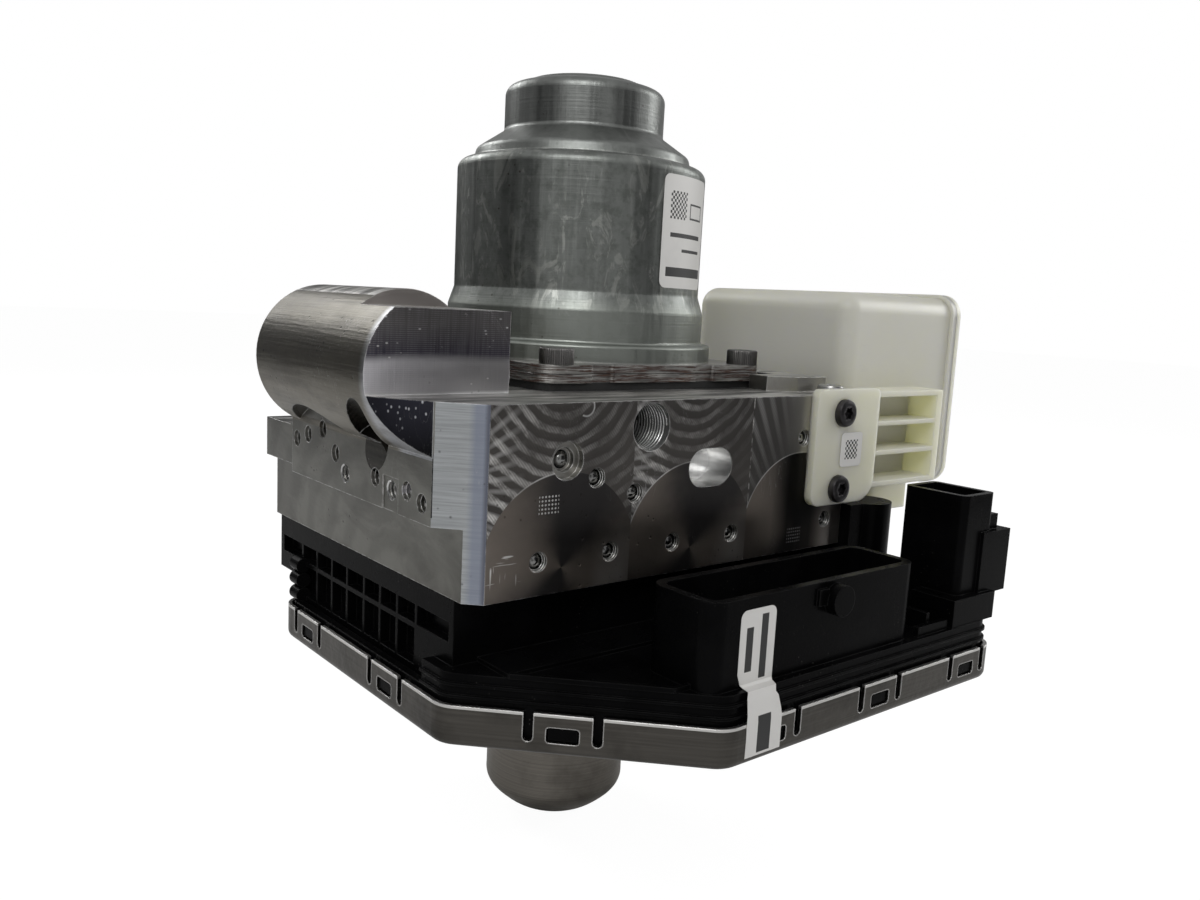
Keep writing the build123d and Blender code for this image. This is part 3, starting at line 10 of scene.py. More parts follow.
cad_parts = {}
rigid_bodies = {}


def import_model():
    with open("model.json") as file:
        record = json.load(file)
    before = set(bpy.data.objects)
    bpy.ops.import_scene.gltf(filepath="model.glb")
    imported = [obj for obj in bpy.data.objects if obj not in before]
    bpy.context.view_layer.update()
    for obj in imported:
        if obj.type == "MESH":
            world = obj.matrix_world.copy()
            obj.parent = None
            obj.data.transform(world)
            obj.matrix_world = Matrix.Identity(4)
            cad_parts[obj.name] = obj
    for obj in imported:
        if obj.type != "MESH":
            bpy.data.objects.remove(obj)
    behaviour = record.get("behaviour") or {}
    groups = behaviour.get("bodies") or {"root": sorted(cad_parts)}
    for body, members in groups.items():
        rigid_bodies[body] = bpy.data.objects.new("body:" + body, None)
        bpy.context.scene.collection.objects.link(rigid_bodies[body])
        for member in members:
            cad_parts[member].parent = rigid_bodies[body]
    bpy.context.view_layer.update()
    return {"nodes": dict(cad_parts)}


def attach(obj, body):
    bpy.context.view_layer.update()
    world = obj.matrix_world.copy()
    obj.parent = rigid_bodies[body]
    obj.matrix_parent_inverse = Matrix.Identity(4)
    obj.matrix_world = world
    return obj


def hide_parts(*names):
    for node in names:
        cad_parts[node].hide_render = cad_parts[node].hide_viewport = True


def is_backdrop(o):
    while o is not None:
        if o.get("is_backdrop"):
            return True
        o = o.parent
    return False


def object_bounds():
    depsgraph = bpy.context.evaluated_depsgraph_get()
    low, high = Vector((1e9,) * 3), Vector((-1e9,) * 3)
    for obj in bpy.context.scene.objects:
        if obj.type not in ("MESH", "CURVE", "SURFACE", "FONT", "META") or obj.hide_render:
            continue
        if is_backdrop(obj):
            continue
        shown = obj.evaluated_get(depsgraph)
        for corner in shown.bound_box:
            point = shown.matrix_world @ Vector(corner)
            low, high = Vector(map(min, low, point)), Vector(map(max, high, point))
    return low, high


bl_info = {
    "name": "Brake unit looks",
    "version": (1, 0, 0),
    "blender": (4, 5, 0),
    "location": "3D view > Sidebar > Brake unit",
    "description": "Finishes, screws, threads and stage of the brake unit",
    "category": "Object",
}

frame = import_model()
NODES = frame["nodes"]

CAN_RADIUS = 0.043
CAN_GIRTH = 2 * math.pi * CAN_RADIUS
KNURL_RIDGES = 48.0
SOCKET_CHAMFER = 1.12
SOCKET_SIDES = 6.0
FLAT = 0.9

# Where the finishes change, in metres; pairs are limits, or places in the plane of a face
FRONT_LIMIT = -0.0745
BOSS_FACE = (-0.0496, -0.0486)
NOTCH_FACE = (-0.0301, -0.0291)
FACET_Y = (-0.0649, -0.0488)
CORNER_LIMIT = -0.0645
BARREL_AXIS = (-0.0831, 0.0053)
BARREL_SKIN = (0.0215, 0.0232)
BARREL_LIMIT = -0.0605
FIRST_PASS = 0.0590
THIRD_CELL = 0.0145
LOWER_PASS = 0.045
PEENED = (((-0.064, -0.0272), (0.72, 0.71, 0.70)), ((0.038, -0.0465), (0.30, 0.30, 0.30)))
PEEN_STEP = 0.00055
PEEN_HALF = (0.0033, 0.0029)
CRESCENT = (-0.0527, -0.0012)
SCRATCHED = (-0.078, -0.0425)
SIDE_SWIRL = (-0.038, -0.066)
FACET_MIDDLE = (-0.060, 0.004)
SLOT = ((-0.0128, 0.0059), (-0.0748, -0.0645), (-0.0270, -0.0149))
PORT_AXIS = (-0.0286, -0.0077)
PORT_REACH = 0.0072
PORT_Y = (-0.0748, -0.050)
OBLIQUE_START = (-0.112, -0.0427, -0.0041)
OBLIQUE_WAY = (0.7864, 0.3696, -0.4954)
OBLIQUE_REACH = 0.00625
OBLIQUE_LIMIT = -0.1062
ARCH_CENTRE = (-0.0005, -0.0379)
ARCH_RADIUS = 0.030
SIDE_STEP = -0.0939
CAN_BODY = (0.022, 0.074)
PAN_RIM = -0.0788


# Sizes and colours

def length(name, description, default):
    return bpy.props.FloatProperty(
        name=name, description=description, default=default, min=0.0, unit="LENGTH", precision=5
    )


def number(name, description, default):
    return bpy.props.FloatProperty(name=name, description=description, default=default, min=0.0)


def share(name, description, default):
    return bpy.props.FloatProperty(
        name=name, description=description, default=default, min=0.0, max=1.0, subtype="FACTOR"
    )


def colour(name, description, default):
    return bpy.props.FloatVectorProperty(
        name=name, description=description, default=default, min=0.0, max=1.0, size=3, subtype="COLOR"
    )


class BlockSettings(bpy.types.PropertyGroup):
    milled: colour("Milled face", "Colour of the milled aluminium", (0.40, 0.39, 0.365))
    # Painted dark reflection of the cutter discs on the front
    shadowed: colour("Cutter discs", "Colour of the dark discs on the front", (0.055, 0.052, 0.052))
    barrel: colour("Barrel", "Colour of the barrel's drawn skin", (0.105, 0.097, 0.076))
    corner: colour("Corner", "Colour of the bare vertical corner", (0.78, 0.81, 0.83))
    pass_radius: length("Cutter radius", "Radius of the milling cutter's round marks", 0.0263)
    pass_step: length("Cutter step", "Distance between two passes along the front", 0.0487)
    tooth_step: length("Tooth marks", "Distance between the arcs that the cutter leaves", 0.0040)
    # Brightness of the edges, worn and partly a painted highlight
    wear_and_highlight: share("Edge wear", "How bright the worn edges are", 0.7)


class MotorSettings(bpy.types.PropertyGroup):
    steel: colour("Can", "Colour of the drawn zinc-coated can", (0.27, 0.285, 0.27))
    rust: colour("Rust", "Colour of the rust on the sheets' cut edges", (0.045, 0.022, 0.016))
    streaks: share("Drawing streaks", "Depth of the streaks that drawing leaves on the can", 0.35)


class ScrewSettings(bpy.types.PropertyGroup):
    steel: colour("Black oxide", "Colour of the bracket's black screws", (0.05, 0.048, 0.05))
    motor_steel: colour("Motor screw", "Colour of the motor screws' dark steel", (0.17, 0.165, 0.16))
    motor_head: length("Motor screw head", "Radius of the motor screws' heads", 0.0053)
    motor_height: length("Motor screw height", "Height of the motor screws' heads", 0.005)
    bracket_head: length("Bracket screw head", "Radius of the bracket screws' heads", 0.0047)
    bracket_height: length("Bracket screw height", "Height of the bracket screws' heads", 0.0024)
    pad_head: length("Pad screw head", "Radius of the silver screw's head", 0.00445)
    pad_height: length("Pad screw height", "Height of the silver screw's head", 0.003)


class PlasticSettings(bpy.types.PropertyGroup):
    housing: colour("Housing", "Colour of the control unit's plastic", (0.0018, 0.0018, 0.002))
    tank: colour("Reservoir", "Colour of the milky plastic", (0.77, 0.755, 0.57))
    cap: colour("Cap", "Colour of the filler cap", (0.02, 0.02, 0.022))
    rubber: colour("Rubber", "Colour of gaskets and boots", (0.008, 0.008, 0.008))


class SheetSettings(bpy.types.PropertyGroup):
    pan: colour("Pan", "Colour of the drawn cover sheet", (0.095, 0.089, 0.080))
    paper: colour("Stickers", "Colour of the stickers", (0.70, 0.69, 0.67))
    ink: colour("Ink", "Colour of the plain shapes on the stickers", (0.02, 0.02, 0.02))
    film: length("Film", "Thickness of the stickers", 0.00012)
    check: length("Squares", "Size of the squares on the small stickers", 0.0009)


class StageSettings(bpy.types.PropertyGroup):
    floor: colour("Floor", "Colour of the floor", (0.93, 0.93, 0.93))
    key: number("Key light", "Power of the main lamp, in watts", 9.0)
    fill: number("Fill light", "Power of the side lamps, in watts", 7.0)
    mirrored: share("Mirrored room", "How bright the room looks in reflections", 0.5)
    soft: share("Soft light", "How bright the room is as a light", 0.26)
    card: colour("Cards", "Colour of the cards that only reflections show", (0.03, 0.03, 0.032))
    glow_share: share("Floor glow", "How much of the floor glows to the eye", 0.88)
    glow: number("Glow", "Brightness of the floor's glow", 1.09)
    lens: number("Lens", "Focal length of the camera, in mm", 30.02)


# Node trees

def by_node(operation, swapped=False):
    """An operator of fields that adds one node."""
    def apply(self, other):
        pair = (other, self) if swapped else (self, other)
        return self.sheet.math(operation, *pair)

    return apply


class Field:
    """One output of a node. Sums, products and comparisons of fields add further nodes."""

    def __init__(self, sheet, socket):
        self.sheet = sheet
        self.socket = socket

    __add__ = by_node("ADD")
    __radd__ = by_node("ADD", swapped=True)
    __sub__ = by_node("SUBTRACT")
    __rsub__ = by_node("SUBTRACT", swapped=True)
    __mul__ = by_node("MULTIPLY")
    __truediv__ = by_node("DIVIDE")
    __rtruediv__ = by_node("DIVIDE", swapped=True)
    __lt__ = by_node("LESS_THAN")
    __gt__ = by_node("GREATER_THAN")

    def span(self, low, high, new_low=0.0, new_high=1.0, smooth=False):
        """Carries low..high over to new_low..new_high, and stops there."""
        node = self.sheet.add("ShaderNodeMapRange", {0: self, 1: low, 2: high, 3: new_low, 4: new_high})
        node.interpolation_type = "SMOOTHSTEP" if smooth else "LINEAR"
        return Field(self.sheet, node.outputs[0])

    def between(self, low, high):
        return (self > low) * (self < high)

    def line(self, middle, width):
        """1 where the field meets its middle, fading over the width."""
        return self.sheet.math("ABSOLUTE", self - middle).span(0.0, width, 1.0, 0.0)

    def wave(self, pitch, wander=0.0):
        """Sine of a distance, with a wander added in radians."""
        return self.sheet.math("SINE", self * (2 * math.pi / pitch) + wander)

    def blend(self, a, b):
        """Colour a where the field is 0, colour b where it is 1."""
        node = self.sheet.add("ShaderNodeMix", data_type="RGBA")
        for place, value in ((0, self), (6, four(a)), (7, four(b))):
            self.sheet.feed(node.inputs[place], value)
        return Field(self.sheet, node.outputs[2])


class Sheet:
    """Adds linked nodes to one tree."""

    def __init__(self, tree):
        self.tree = tree
        tree.nodes.clear()

    def add(self, kind, links=None, **settings):
        node = self.tree.nodes.new(kind)
        for key, value in settings.items():
            setattr(node, key, value)
        for socket, value in (links or {}).items():
            self.feed(node.inputs[socket], value)
        return node

    def field(self, kind, links=None, output=0, **settings):
        """Adds a node and gives one of its outputs."""
        return Field(self, self.add(kind, links, **settings).outputs[output])

    def feed(self, socket, value):
        if isinstance(value, Field):
            self.tree.links.new(value.socket, socket)
        else:
            socket.default_value = value

    def math(self, operation, a, b=0.0):
        return self.field("ShaderNodeMath", {0: a, 1: b}, operation=operation)

    def vector(self, operation, a, b=(0.0, 0.0, 0.0), output="Vector"):
        return self.field("ShaderNodeVectorMath", {0: a, 1: b}, output, operation=operation)

    def scaled(self, vector, scale):
        return self.field("ShaderNodeVectorMath", {0: vector, "Scale": scale}, operation="SCALE")

    def split(self, vector):
        parts = self.add("ShaderNodeSeparateXYZ", {0: vector}).outputs
        return [Field(self, part) for part in parts]

    def join(self, x, y, z):
        return self.field("ShaderNodeCombineXYZ", {0: x, 1: y, 2: z})

    def union(self, first, *others):
        """The largest of some masks."""
        for mask in others:
            first = self.math("MAXIMUM", first, mask)
        return first

    def seen(self):
        """1 for what the camera sees, straight or through glass."""
        rays = ("Is Camera Ray", "Is Transmission Ray")
        return self.union(*(self.field("ShaderNodeLightPath", output=ray) for ray in rays))

    def reach(self, a, b, centre_a=0.0, centre_b=0.0):
        """Distance from a point in a plane."""
        return self.vector("LENGTH", self.join(a - centre_a, b - centre_b, 0.0), output="Value")


def four(value):
    """A colour with its alpha; fields pass through."""
    return value if isinstance(value, Field) else (*value, 1.0)


def toned(colour, tone):
    """A colour made darker or lighter."""
    return [value * tone for value in colour]


class Finish(Sheet):
    """One node material with a principled shader, object coordinates and a bump chain."""

    def __init__(self, name, metallic=0.0, **constants):
        self.material = bpy.data.materials.new(name)
        self.material.use_nodes = True
        super().__init__(self.material.node_tree)
        self.shader = self.add("ShaderNodeBsdfPrincipled", {"Metallic": metallic})
        self.add("ShaderNodeOutputMaterial", {0: Field(self, self.shader.outputs[0])})
        self.set(**constants)
        self.where = self.field("ShaderNodeTexCoord", output="Object")
        self.facing = self.field("ShaderNodeTexCoord", output="Normal")

    def set(self, **values):
        for key, value in values.items():
            value = four(value) if key == "Base_Color" else value
            self.feed(self.shader.inputs[key.replace("_", " ")], value)

    def noise(self, where, scale, detail=3.0, roughness=0.55, distortion=0.0):
        links = {"Scale": scale, "Detail": detail, "Roughness": roughness, "Distortion": distortion}
        return self.field("ShaderNodeTexNoise", {"Vector": where, **links})

    def cloud(self, scale, *shape):
        """Noise that is the same in all directions."""
        return self.noise(self.where, scale, *shape)

    def streaks(self, stretch, *shape, where=None):
        """Noise with its own scale along each axis."""
        return self.noise(self.stretched(stretch, where), 1.0, *shape)

    def stretched(self, stretch, where=None, turn=(0.0, 0.0, 0.0)):
        return self.field("ShaderNodeMapping", {0: where or self.where, 2: turn, 3: stretch})

    def dots(self, scale, low, high, stretch=(1.0, 1.0, 1.0)):
        """1 in small spots, fading from low to high off their centres."""
        links = {"Vector": self.stretched(stretch), "Scale": scale}
        return self.field("ShaderNodeTexVoronoi", links, "Distance").span(low, high, 1.0, 0.0)

    def bump(self, heights, bevel=0.0):
        """Bumps one over the other, each (height, distance in metres), on edges rounded by bevel."""
        normal = self.field("ShaderNodeBevel", {"Radius": bevel}, samples=4) if bevel else None
        for height, distance in heights:
            links = {"Strength": 1.0, "Distance": distance, "Height": height}
            if normal is not None:
                links["Normal"] = normal
            normal = self.field("ShaderNodeBump", links)
        self.set(Normal=normal)

    def edges(self, radius, low=0.02, high=0.25):
        """1 on sharp edges within the radius, 0 on flats."""
        rounded = self.field("ShaderNodeBevel", {"Radius": radius}, samples=6)
        plain = self.field("ShaderNodeNewGeometry", output="Normal")
        return (1.0 - self.vector("DOT_PRODUCT", rounded, plain, output="Value")).span(low, high)

    def about_axis(self):
        """Distance from the motor's axis, angle about it in turns, and height."""
        x, y, z = self.split(self.where)
        return self.reach(x, y), self.math("ARCTAN2", y, x) / (2 * math.pi), z


def bars(finish, across, up, *boxes):
    """1 inside any of the boxes (left, right, low, high)."""
    return finish.union(*(across.between(a, b) * up.between(c, d) for a, b, c, d in boxes))


def front_face(finish, settings, x, z):
    """Colour and grooves of the milled front: discs below with a painted dark reflection and painted
    highlights, nested arcs above painted as highlights, a fan on the right over a painted reflection.
    """
    shifted = x + (FIRST_PASS + settings.pass_step / 2)
    cell = finish.math("SNAP", shifted, settings.pass_step)
    local_x = x - (cell - FIRST_PASS)
    cloud = finish.cloud(42.0, 4.0, 0.6)
    wander = finish.cloud(70.0) * 7.0
    # Lower pass: discs painted with a dark reflection, whose painted highlight turns about their centre
    low = finish.reach(local_x, z, 0.0, -LOWER_PASS)
    disc = low < settings.pass_radius
    rim = low.line(settings.pass_radius, 0.0003) * local_x.span(0.006, -0.004)
    turn = finish.math("ARCTAN2", z + LOWER_PASS, local_x)
    painted_highlight_sector = finish.math("COSINE", turn * 2.0 - 5.6)
    painted_highlight_sector = (painted_highlight_sector + cloud * 1.4).span(-0.1, 1.9, smooth=True)
    disc_painted_reflection = painted_highlight_sector.blend(settings.shadowed, (0.27, 0.235, 0.205))
    # Painted highlight at the lower right of each disc
    foot = z.span(-0.034, -0.050) * local_x.line(0.0205, 0.011)
    disc_painted_reflection = (foot * 0.8).blend(disc_painted_reflection, (0.52, 0.50, 0.48))
    # Painted dark reflection over the third disc
    disc_painted_reflection = (x.span(0.026, 0.034) * x.span(0.054, 0.046) * 0.92).blend(disc_painted_reflection, (0.010, 0.0095, 0.0095))
    # Upper pass: nested arcs painted as highlights, strongest at the left of each cell and fading towards the
    # right
    high = finish.reach(local_x, z, -0.001, 0.012)
    arcs = high.wave(settings.tooth_step, wander)
    hatch = (x + z * 0.8).wave(0.0009)
    hatched = hatch.span(-1.0, 1.0, 0.55, 1.0)
    strength = finish.cloud(55.0).span(0.38, 0.62)
    left = local_x.span(0.012, -0.022)
    arc_painted_highlights = arcs.span(-0.35, 0.75, smooth=True) * (left * 0.8 + 0.2) * hatched * (strength * 0.85 + 0.15)
    arc_painted_highlights = arc_painted_highlights * finish.cloud(300.0, 3.0, 0.6).span(0.36, 0.56, 0.35, 1.0)
    # Painted highlight in sweeping lines at the left of each cell
    side_turn = finish.math("ARCTAN2", z + 0.020, local_x + 0.044)
    sweep_painted_highlight = local_x.line(-0.022, 0.009) * finish.math("SINE", side_turn * 46.0).span(-0.2, 1.0)
    arc_tone = cloud.blend((0.075, 0.07, 0.068), (0.15, 0.14, 0.13))
    arc_tone = arc_painted_highlights.blend(arc_tone, (0.95, 0.93, 0.90))
    arc_tone = (sweep_painted_highlight * 0.4).blend(arc_tone, (0.78, 0.77, 0.76))
    # Third cell: a fan of near-vertical lines painted as highlights, over a painted reflection that brightens
    # towards the bracket
    third = x > THIRD_CELL
    fan_turn = finish.math("ARCTAN2", x - 0.052, z + 0.075)
    fan = finish.math("SINE", fan_turn * 95.0).span(-0.4, 1.0, smooth=True)
    fan = fan * x.span(0.034, 0.016) * z.span(-0.036, -0.006)
    fan_painted_light = x.span(0.026, 0.047, smooth=True).blend((0.11, 0.105, 0.10), (0.40, 0.39, 0.37))
    fan_painted_light = (fan * hatched * 0.5).blend(fan_painted_light, (0.62, 0.61, 0.60))
    arc_tone = third.blend(arc_tone, fan_painted_light)
    tone = disc.blend(arc_tone, disc_painted_reflection)
    tone = (rim * cloud.span(0.4, 0.55)).blend(tone, (0.80, 0.79, 0.78))
    # Peened dots, a crescent and the scratches near the lower left corner
    half_x, half_z = PEEN_HALF
    for (middle_x, middle_z), bright in PEENED:
        off_x, off_z = x - middle_x, z - middle_z
        steps = [finish.math("PINGPONG", off, PEEN_STEP) for off in (off_x, off_z)]
        patch = off_x.between(-half_x, half_x) * off_z.between(-half_z, half_z)
        tone = ((finish.reach(*steps) < 0.00030) * patch).blend(tone, bright)
    ring = finish.reach(x, z, *CRESCENT).line(0.0026, 0.0004)
    ring = ring * (x - z > -0.0505)
    tone = ring.blend(tone, (0.80, 0.80, 0.79))
    slanted = finish.stretched((900.0, 1.0, 90.0), turn=(0.0, 0.5, 0.0))
    crossed = finish.stretched((90.0, 1.0, 900.0), turn=(0.0, -0.25, 0.0))
    cuts = finish.union(*(finish.noise(where, 1.0, 1.0).span(0.64, 0.68) for where in (slanted, crossed)))
    cuts = cuts * finish.reach(x, z, *SCRATCHED).span(0.0075, 0.004)
    tone = cuts.blend(tone, (0.78, 0.77, 0.75))
    rings = low.wave(0.0006)
    grooves = arcs * (1.0 - disc) * (1.0 - third)
    return tone, [(grooves, 0.000012), (hatch * (1.0 - disc), 0.000006), (rings * disc, 0.0000016)]


def milled_aluminium(settings):
    """Milled block: cutter marks on the front, a bare corner, a dark facet, drawn skin on the barrel."""
    finish = Finish("milled_aluminium", metallic=1.0)
    x, y, z = finish.split(finish.where)
    nx, ny, nz = finish.split(finish.facing)
    facing_front = ny < -FLAT
    front = facing_front * (y < FRONT_LIMIT)
    boss = facing_front * y.between(*BOSS_FACE)
    notch = facing_front * y.between(*NOTCH_FACE)
    oblique = (nx < -0.5) * (ny < -0.5)
    corner = oblique * (y < CORNER_LIMIT)
    facet = oblique * y.between(*FACET_Y) * (z > -0.030)
    side = nx < -FLAT
    top = nz > FLAT
    # Barrel: near its axis and above the milled side face
    reach = finish.reach(x, z, *BARREL_AXIS)
    barrel = reach.between(*BARREL_SKIN) * (x < BARREL_LIMIT)
    # Marks along X on the flat faces, and axis-parallel lines on the barrel
    lines = finish.streaks((30.0, 400.0, 900.0))
    side_lines = finish.streaks((900.0, 25.0, 700.0))
    brushed = finish.streaks((60.0, 60.0, 2200.0))
    upright = finish.streaks((1500.0, 200.0, 60.0))
    cloud = finish.cloud(35.0, 4.0, 0.6)
    grain = finish.cloud(260.0, 4.0, 0.65)
    pits = finish.dots(330.0, 0.05, 0.16)
    pits = pits * finish.cloud(60.0, 2.0).span(0.52, 0.62)
    scratches = finish.streaks((260.0, 260.0, 60.0), 1.0, 0.5, 2.0).line(0.5, 0.006)
    scratches = scratches * finish.cloud(45.0, 2.0).span(0.55, 0.7)
    # Plain milled faces, with faint large arcs on the side
    tone = cloud.span(0.35, 0.7).blend(toned(settings.milled, 0.78), settings.milled)
    tone = (grain.span(0.5, 0.7) * 0.4).blend(tone, toned(settings.milled, 0.6))
    swirl = finish.reach(y, z, *SIDE_SWIRL).wave(0.0135, cloud * 6.0).span(-0.6, 1.0)
    brown = (z + cloud * 0.02).span(-0.044, -0.024, 1.0, 0.0)
    tone = (side * 0.75).blend(tone, brown.blend((0.115, 0.115, 0.103), (0.060, 0.058, 0.048)))
    smoke = finish.streaks((20.0, 34.0, 70.0), 4.0, 0.6, 1.2).span(0.40, 0.64, smooth=True)
    tone = (smoke * side * 0.45).blend(tone, (0.26, 0.26, 0.235))
    tone = (swirl.span(0.0, 1.0, smooth=True) * side * 0.25).blend(tone, (0.045, 0.043, 0.038))
    skin = side_lines.span(0.3, 0.7).blend(toned(settings.barrel, 0.7), settings.barrel)
    # Painted light: the barrel's lower half is lighter
    skin = z.span(0.010, -0.010).blend(skin, (0.19, 0.177, 0.148))
    skin = y.span(-0.046, -0.0495).blend(skin, (0.40, 0.41, 0.43))
    smear = finish.streaks((70.0, 26.0, 90.0), 5.0, 0.7).span(0.46, 0.60)
    skin = (smear * 0.5).blend(skin, (0.055, 0.05, 0.042))
    dents = finish.dots(150.0, 0.05, 0.10) * grain.span(0.44, 0.55)
    skin = dents.blend(skin, (0.02, 0.018, 0.015))
    tone = barrel.blend(tone, skin)
    front_tone, front_grooves = front_face(finish, settings, x, z)
    tone = front.blend(tone, front_tone)
    # Bare corner: grey brushed on its left, a painted bluish dark reflection on its right
    bare = brushed.span(0.35, 0.65).blend(toned(settings.corner, 0.47), toned(settings.corner, 0.64))
    bare = (x.span(-0.0874, -0.0860) * 0.75).blend(bare, (0.27, 0.30, 0.38))
    bare = x.span(-0.0846, -0.0838).blend(bare, (0.16, 0.17, 0.21))
    tone = corner.blend(tone, bare)
    # Facet under the boss: a painted dark reflection, lighter at its middle, with bright specks along its upper
    # edge
    specks = finish.dots(620.0, 0.14, 0.24, (1.0, 1.0, 0.7))
    specks = specks * (z + cloud * 0.012).span(-0.004, 0.004)
    dark = finish.reach(y, z, *FACET_MIDDLE).span(0.004, 0.018)
    dark = dark.blend((0.06, 0.06, 0.08), (0.012, 0.012, 0.013))
    tone = facet.blend(tone, specks.blend(dark, (0.80, 0.81, 0.86)))
    # Boss front: a painted purple-black dark reflection above; silver below, with a painted lilac highlight on
    # its left
    lower = x.span(-0.096, -0.070).blend((0.90, 0.88, 0.92), (0.46, 0.45, 0.46))
    upper = z.span(0.011, 0.019).blend((0.085, 0.078, 0.105), (0.19, 0.18, 0.18))
    shine = (z + cloud * 0.003).span(0.0125, 0.0095, smooth=True).blend(upper, lower)
    fine = z.wave(0.00055)
    shine = (fine.span(-1.0, 1.0) * upright.span(0.3, 0.7) * 0.35).blend(shine, (0.60, 0.59, 0.62))
    nicks = finish.dots(300.0, 0.07, 0.15, (1.0, 1.0, 1.6))
    nicks = nicks * finish.cloud(75.0).span(0.46, 0.56)
    shine = nicks.blend(shine, (0.88, 0.87, 0.88))
    shine = z.line(0.0002, 0.0007).blend(shine, (0.90, 0.89, 0.90))
    tone = boss.blend(tone, shine)
    tone = notch.blend(tone, (0.52, 0.48, 0.46))
    smears = finish.streaks((26.0, 190.0, 60.0), 4.0, 0.6).span(0.36, 0.66, smooth=True)
    tone = top.blend(tone, smears.blend((0.20, 0.197, 0.19), (0.86, 0.85, 0.82)))
    # Insides of the slot and of the open port: the slot has painted shade on its left and painted light on its
    # right
    inside = x.between(*SLOT[0]) * y.between(*SLOT[1]) * z.between(*SLOT[2])
    port = (finish.reach(x, z, *PORT_AXIS) < PORT_REACH) * y.between(*PORT_Y)
    lit = (x + upright * 0.006).span(-0.0060, 0.0060)
    tone = inside.blend(tone, lit.blend((0.045, 0.045, 0.045), (0.92, 0.92, 0.91)))
    # Painted shade on the port's upper left, painted highlight on its lower right
    lower = (x - (z + y * 0.5)).span(0.011, 0.022)
    tone = port.blend(tone, lower.blend((0.05, 0.05, 0.05), (0.85, 0.85, 0.84)))
    # Painted shade inside the oblique bore
    off = finish.vector("SUBTRACT", finish.where, OBLIQUE_START)
    across = finish.vector("LENGTH", finish.vector("CROSS_PRODUCT", off, OBLIQUE_WAY), output="Value")
    bore_painted_shade = (across < OBLIQUE_REACH) * (x > OBLIQUE_LIMIT)
    arch = finish.reach(y, z, *ARCH_CENTRE).line(ARCH_RADIUS, 0.0004) * (x < SIDE_STEP)
    tone = bore_painted_shade.blend(tone, side_lines.span(0.3, 0.7).blend((0.012, 0.011, 0.009), (0.05, 0.046, 0.038)))
    tone = ((arch > 0.5) * 0.8).blend(tone, (0.03, 0.028, 0.024))
    # Edges lightened as wear and as painted highlights, pits and scratches
    edge = finish.edges(0.0006) * settings.wear_and_highlight * finish.cloud(420.0, 2.0).span(0.35, 0.6)
    tone = edge.blend(tone, (0.90, 0.90, 0.90))
    tone = (pits * 0.75).blend(tone, (0.04, 0.036, 0.032))
    tone = (scratches * 0.4).blend(tone, (0.75, 0.75, 0.75))
    rough = cloud.span(0.3, 0.7, 0.32, 0.44) + corner * 0.12 + scratches * 0.2 - inside * 0.06
    finish.set(Base_Color=tone, Roughness=rough)
    heights = [(height * front, depth) for height, depth in front_grooves]
    heights += [
        (lines * (1.0 - front) * (1.0 - oblique), 0.00005),
        (brushed * corner, 0.00004),
        (upright * boss, 0.00006),
        (side_lines * barrel, 0.00014),
        (pits * -1.0, 0.0001),
    ]
    finish.bump(heights, bevel=0.0004)
    return finish.material


def turned_aluminium():
    """Turned end cap: rings about the vertical axis and a dull, slightly stained skin."""
    finish = Finish("turned_aluminium", metallic=1.0)
    radius, _, z = finish.about_axis()
    rings = finish.noise(finish.join(z * 2600.0, radius * 900.0, 0.0), 1.0, 3.0)
    stain = finish.cloud(60.0, 4.0, 0.6)
    tone = rings.span(0.3, 0.7).blend((0.15, 0.14, 0.125), (0.27, 0.25, 0.22))
    tone = stain.span(0.5, 0.75).blend(tone, (0.13, 0.12, 0.105))
    finish.set(Base_Color=tone, Roughness=rings.span(0.2, 0.8, 0.34, 0.46))
    finish.bump([(rings, 0.00010), (stain, 0.00003)], bevel=0.0003)
    return finish.material


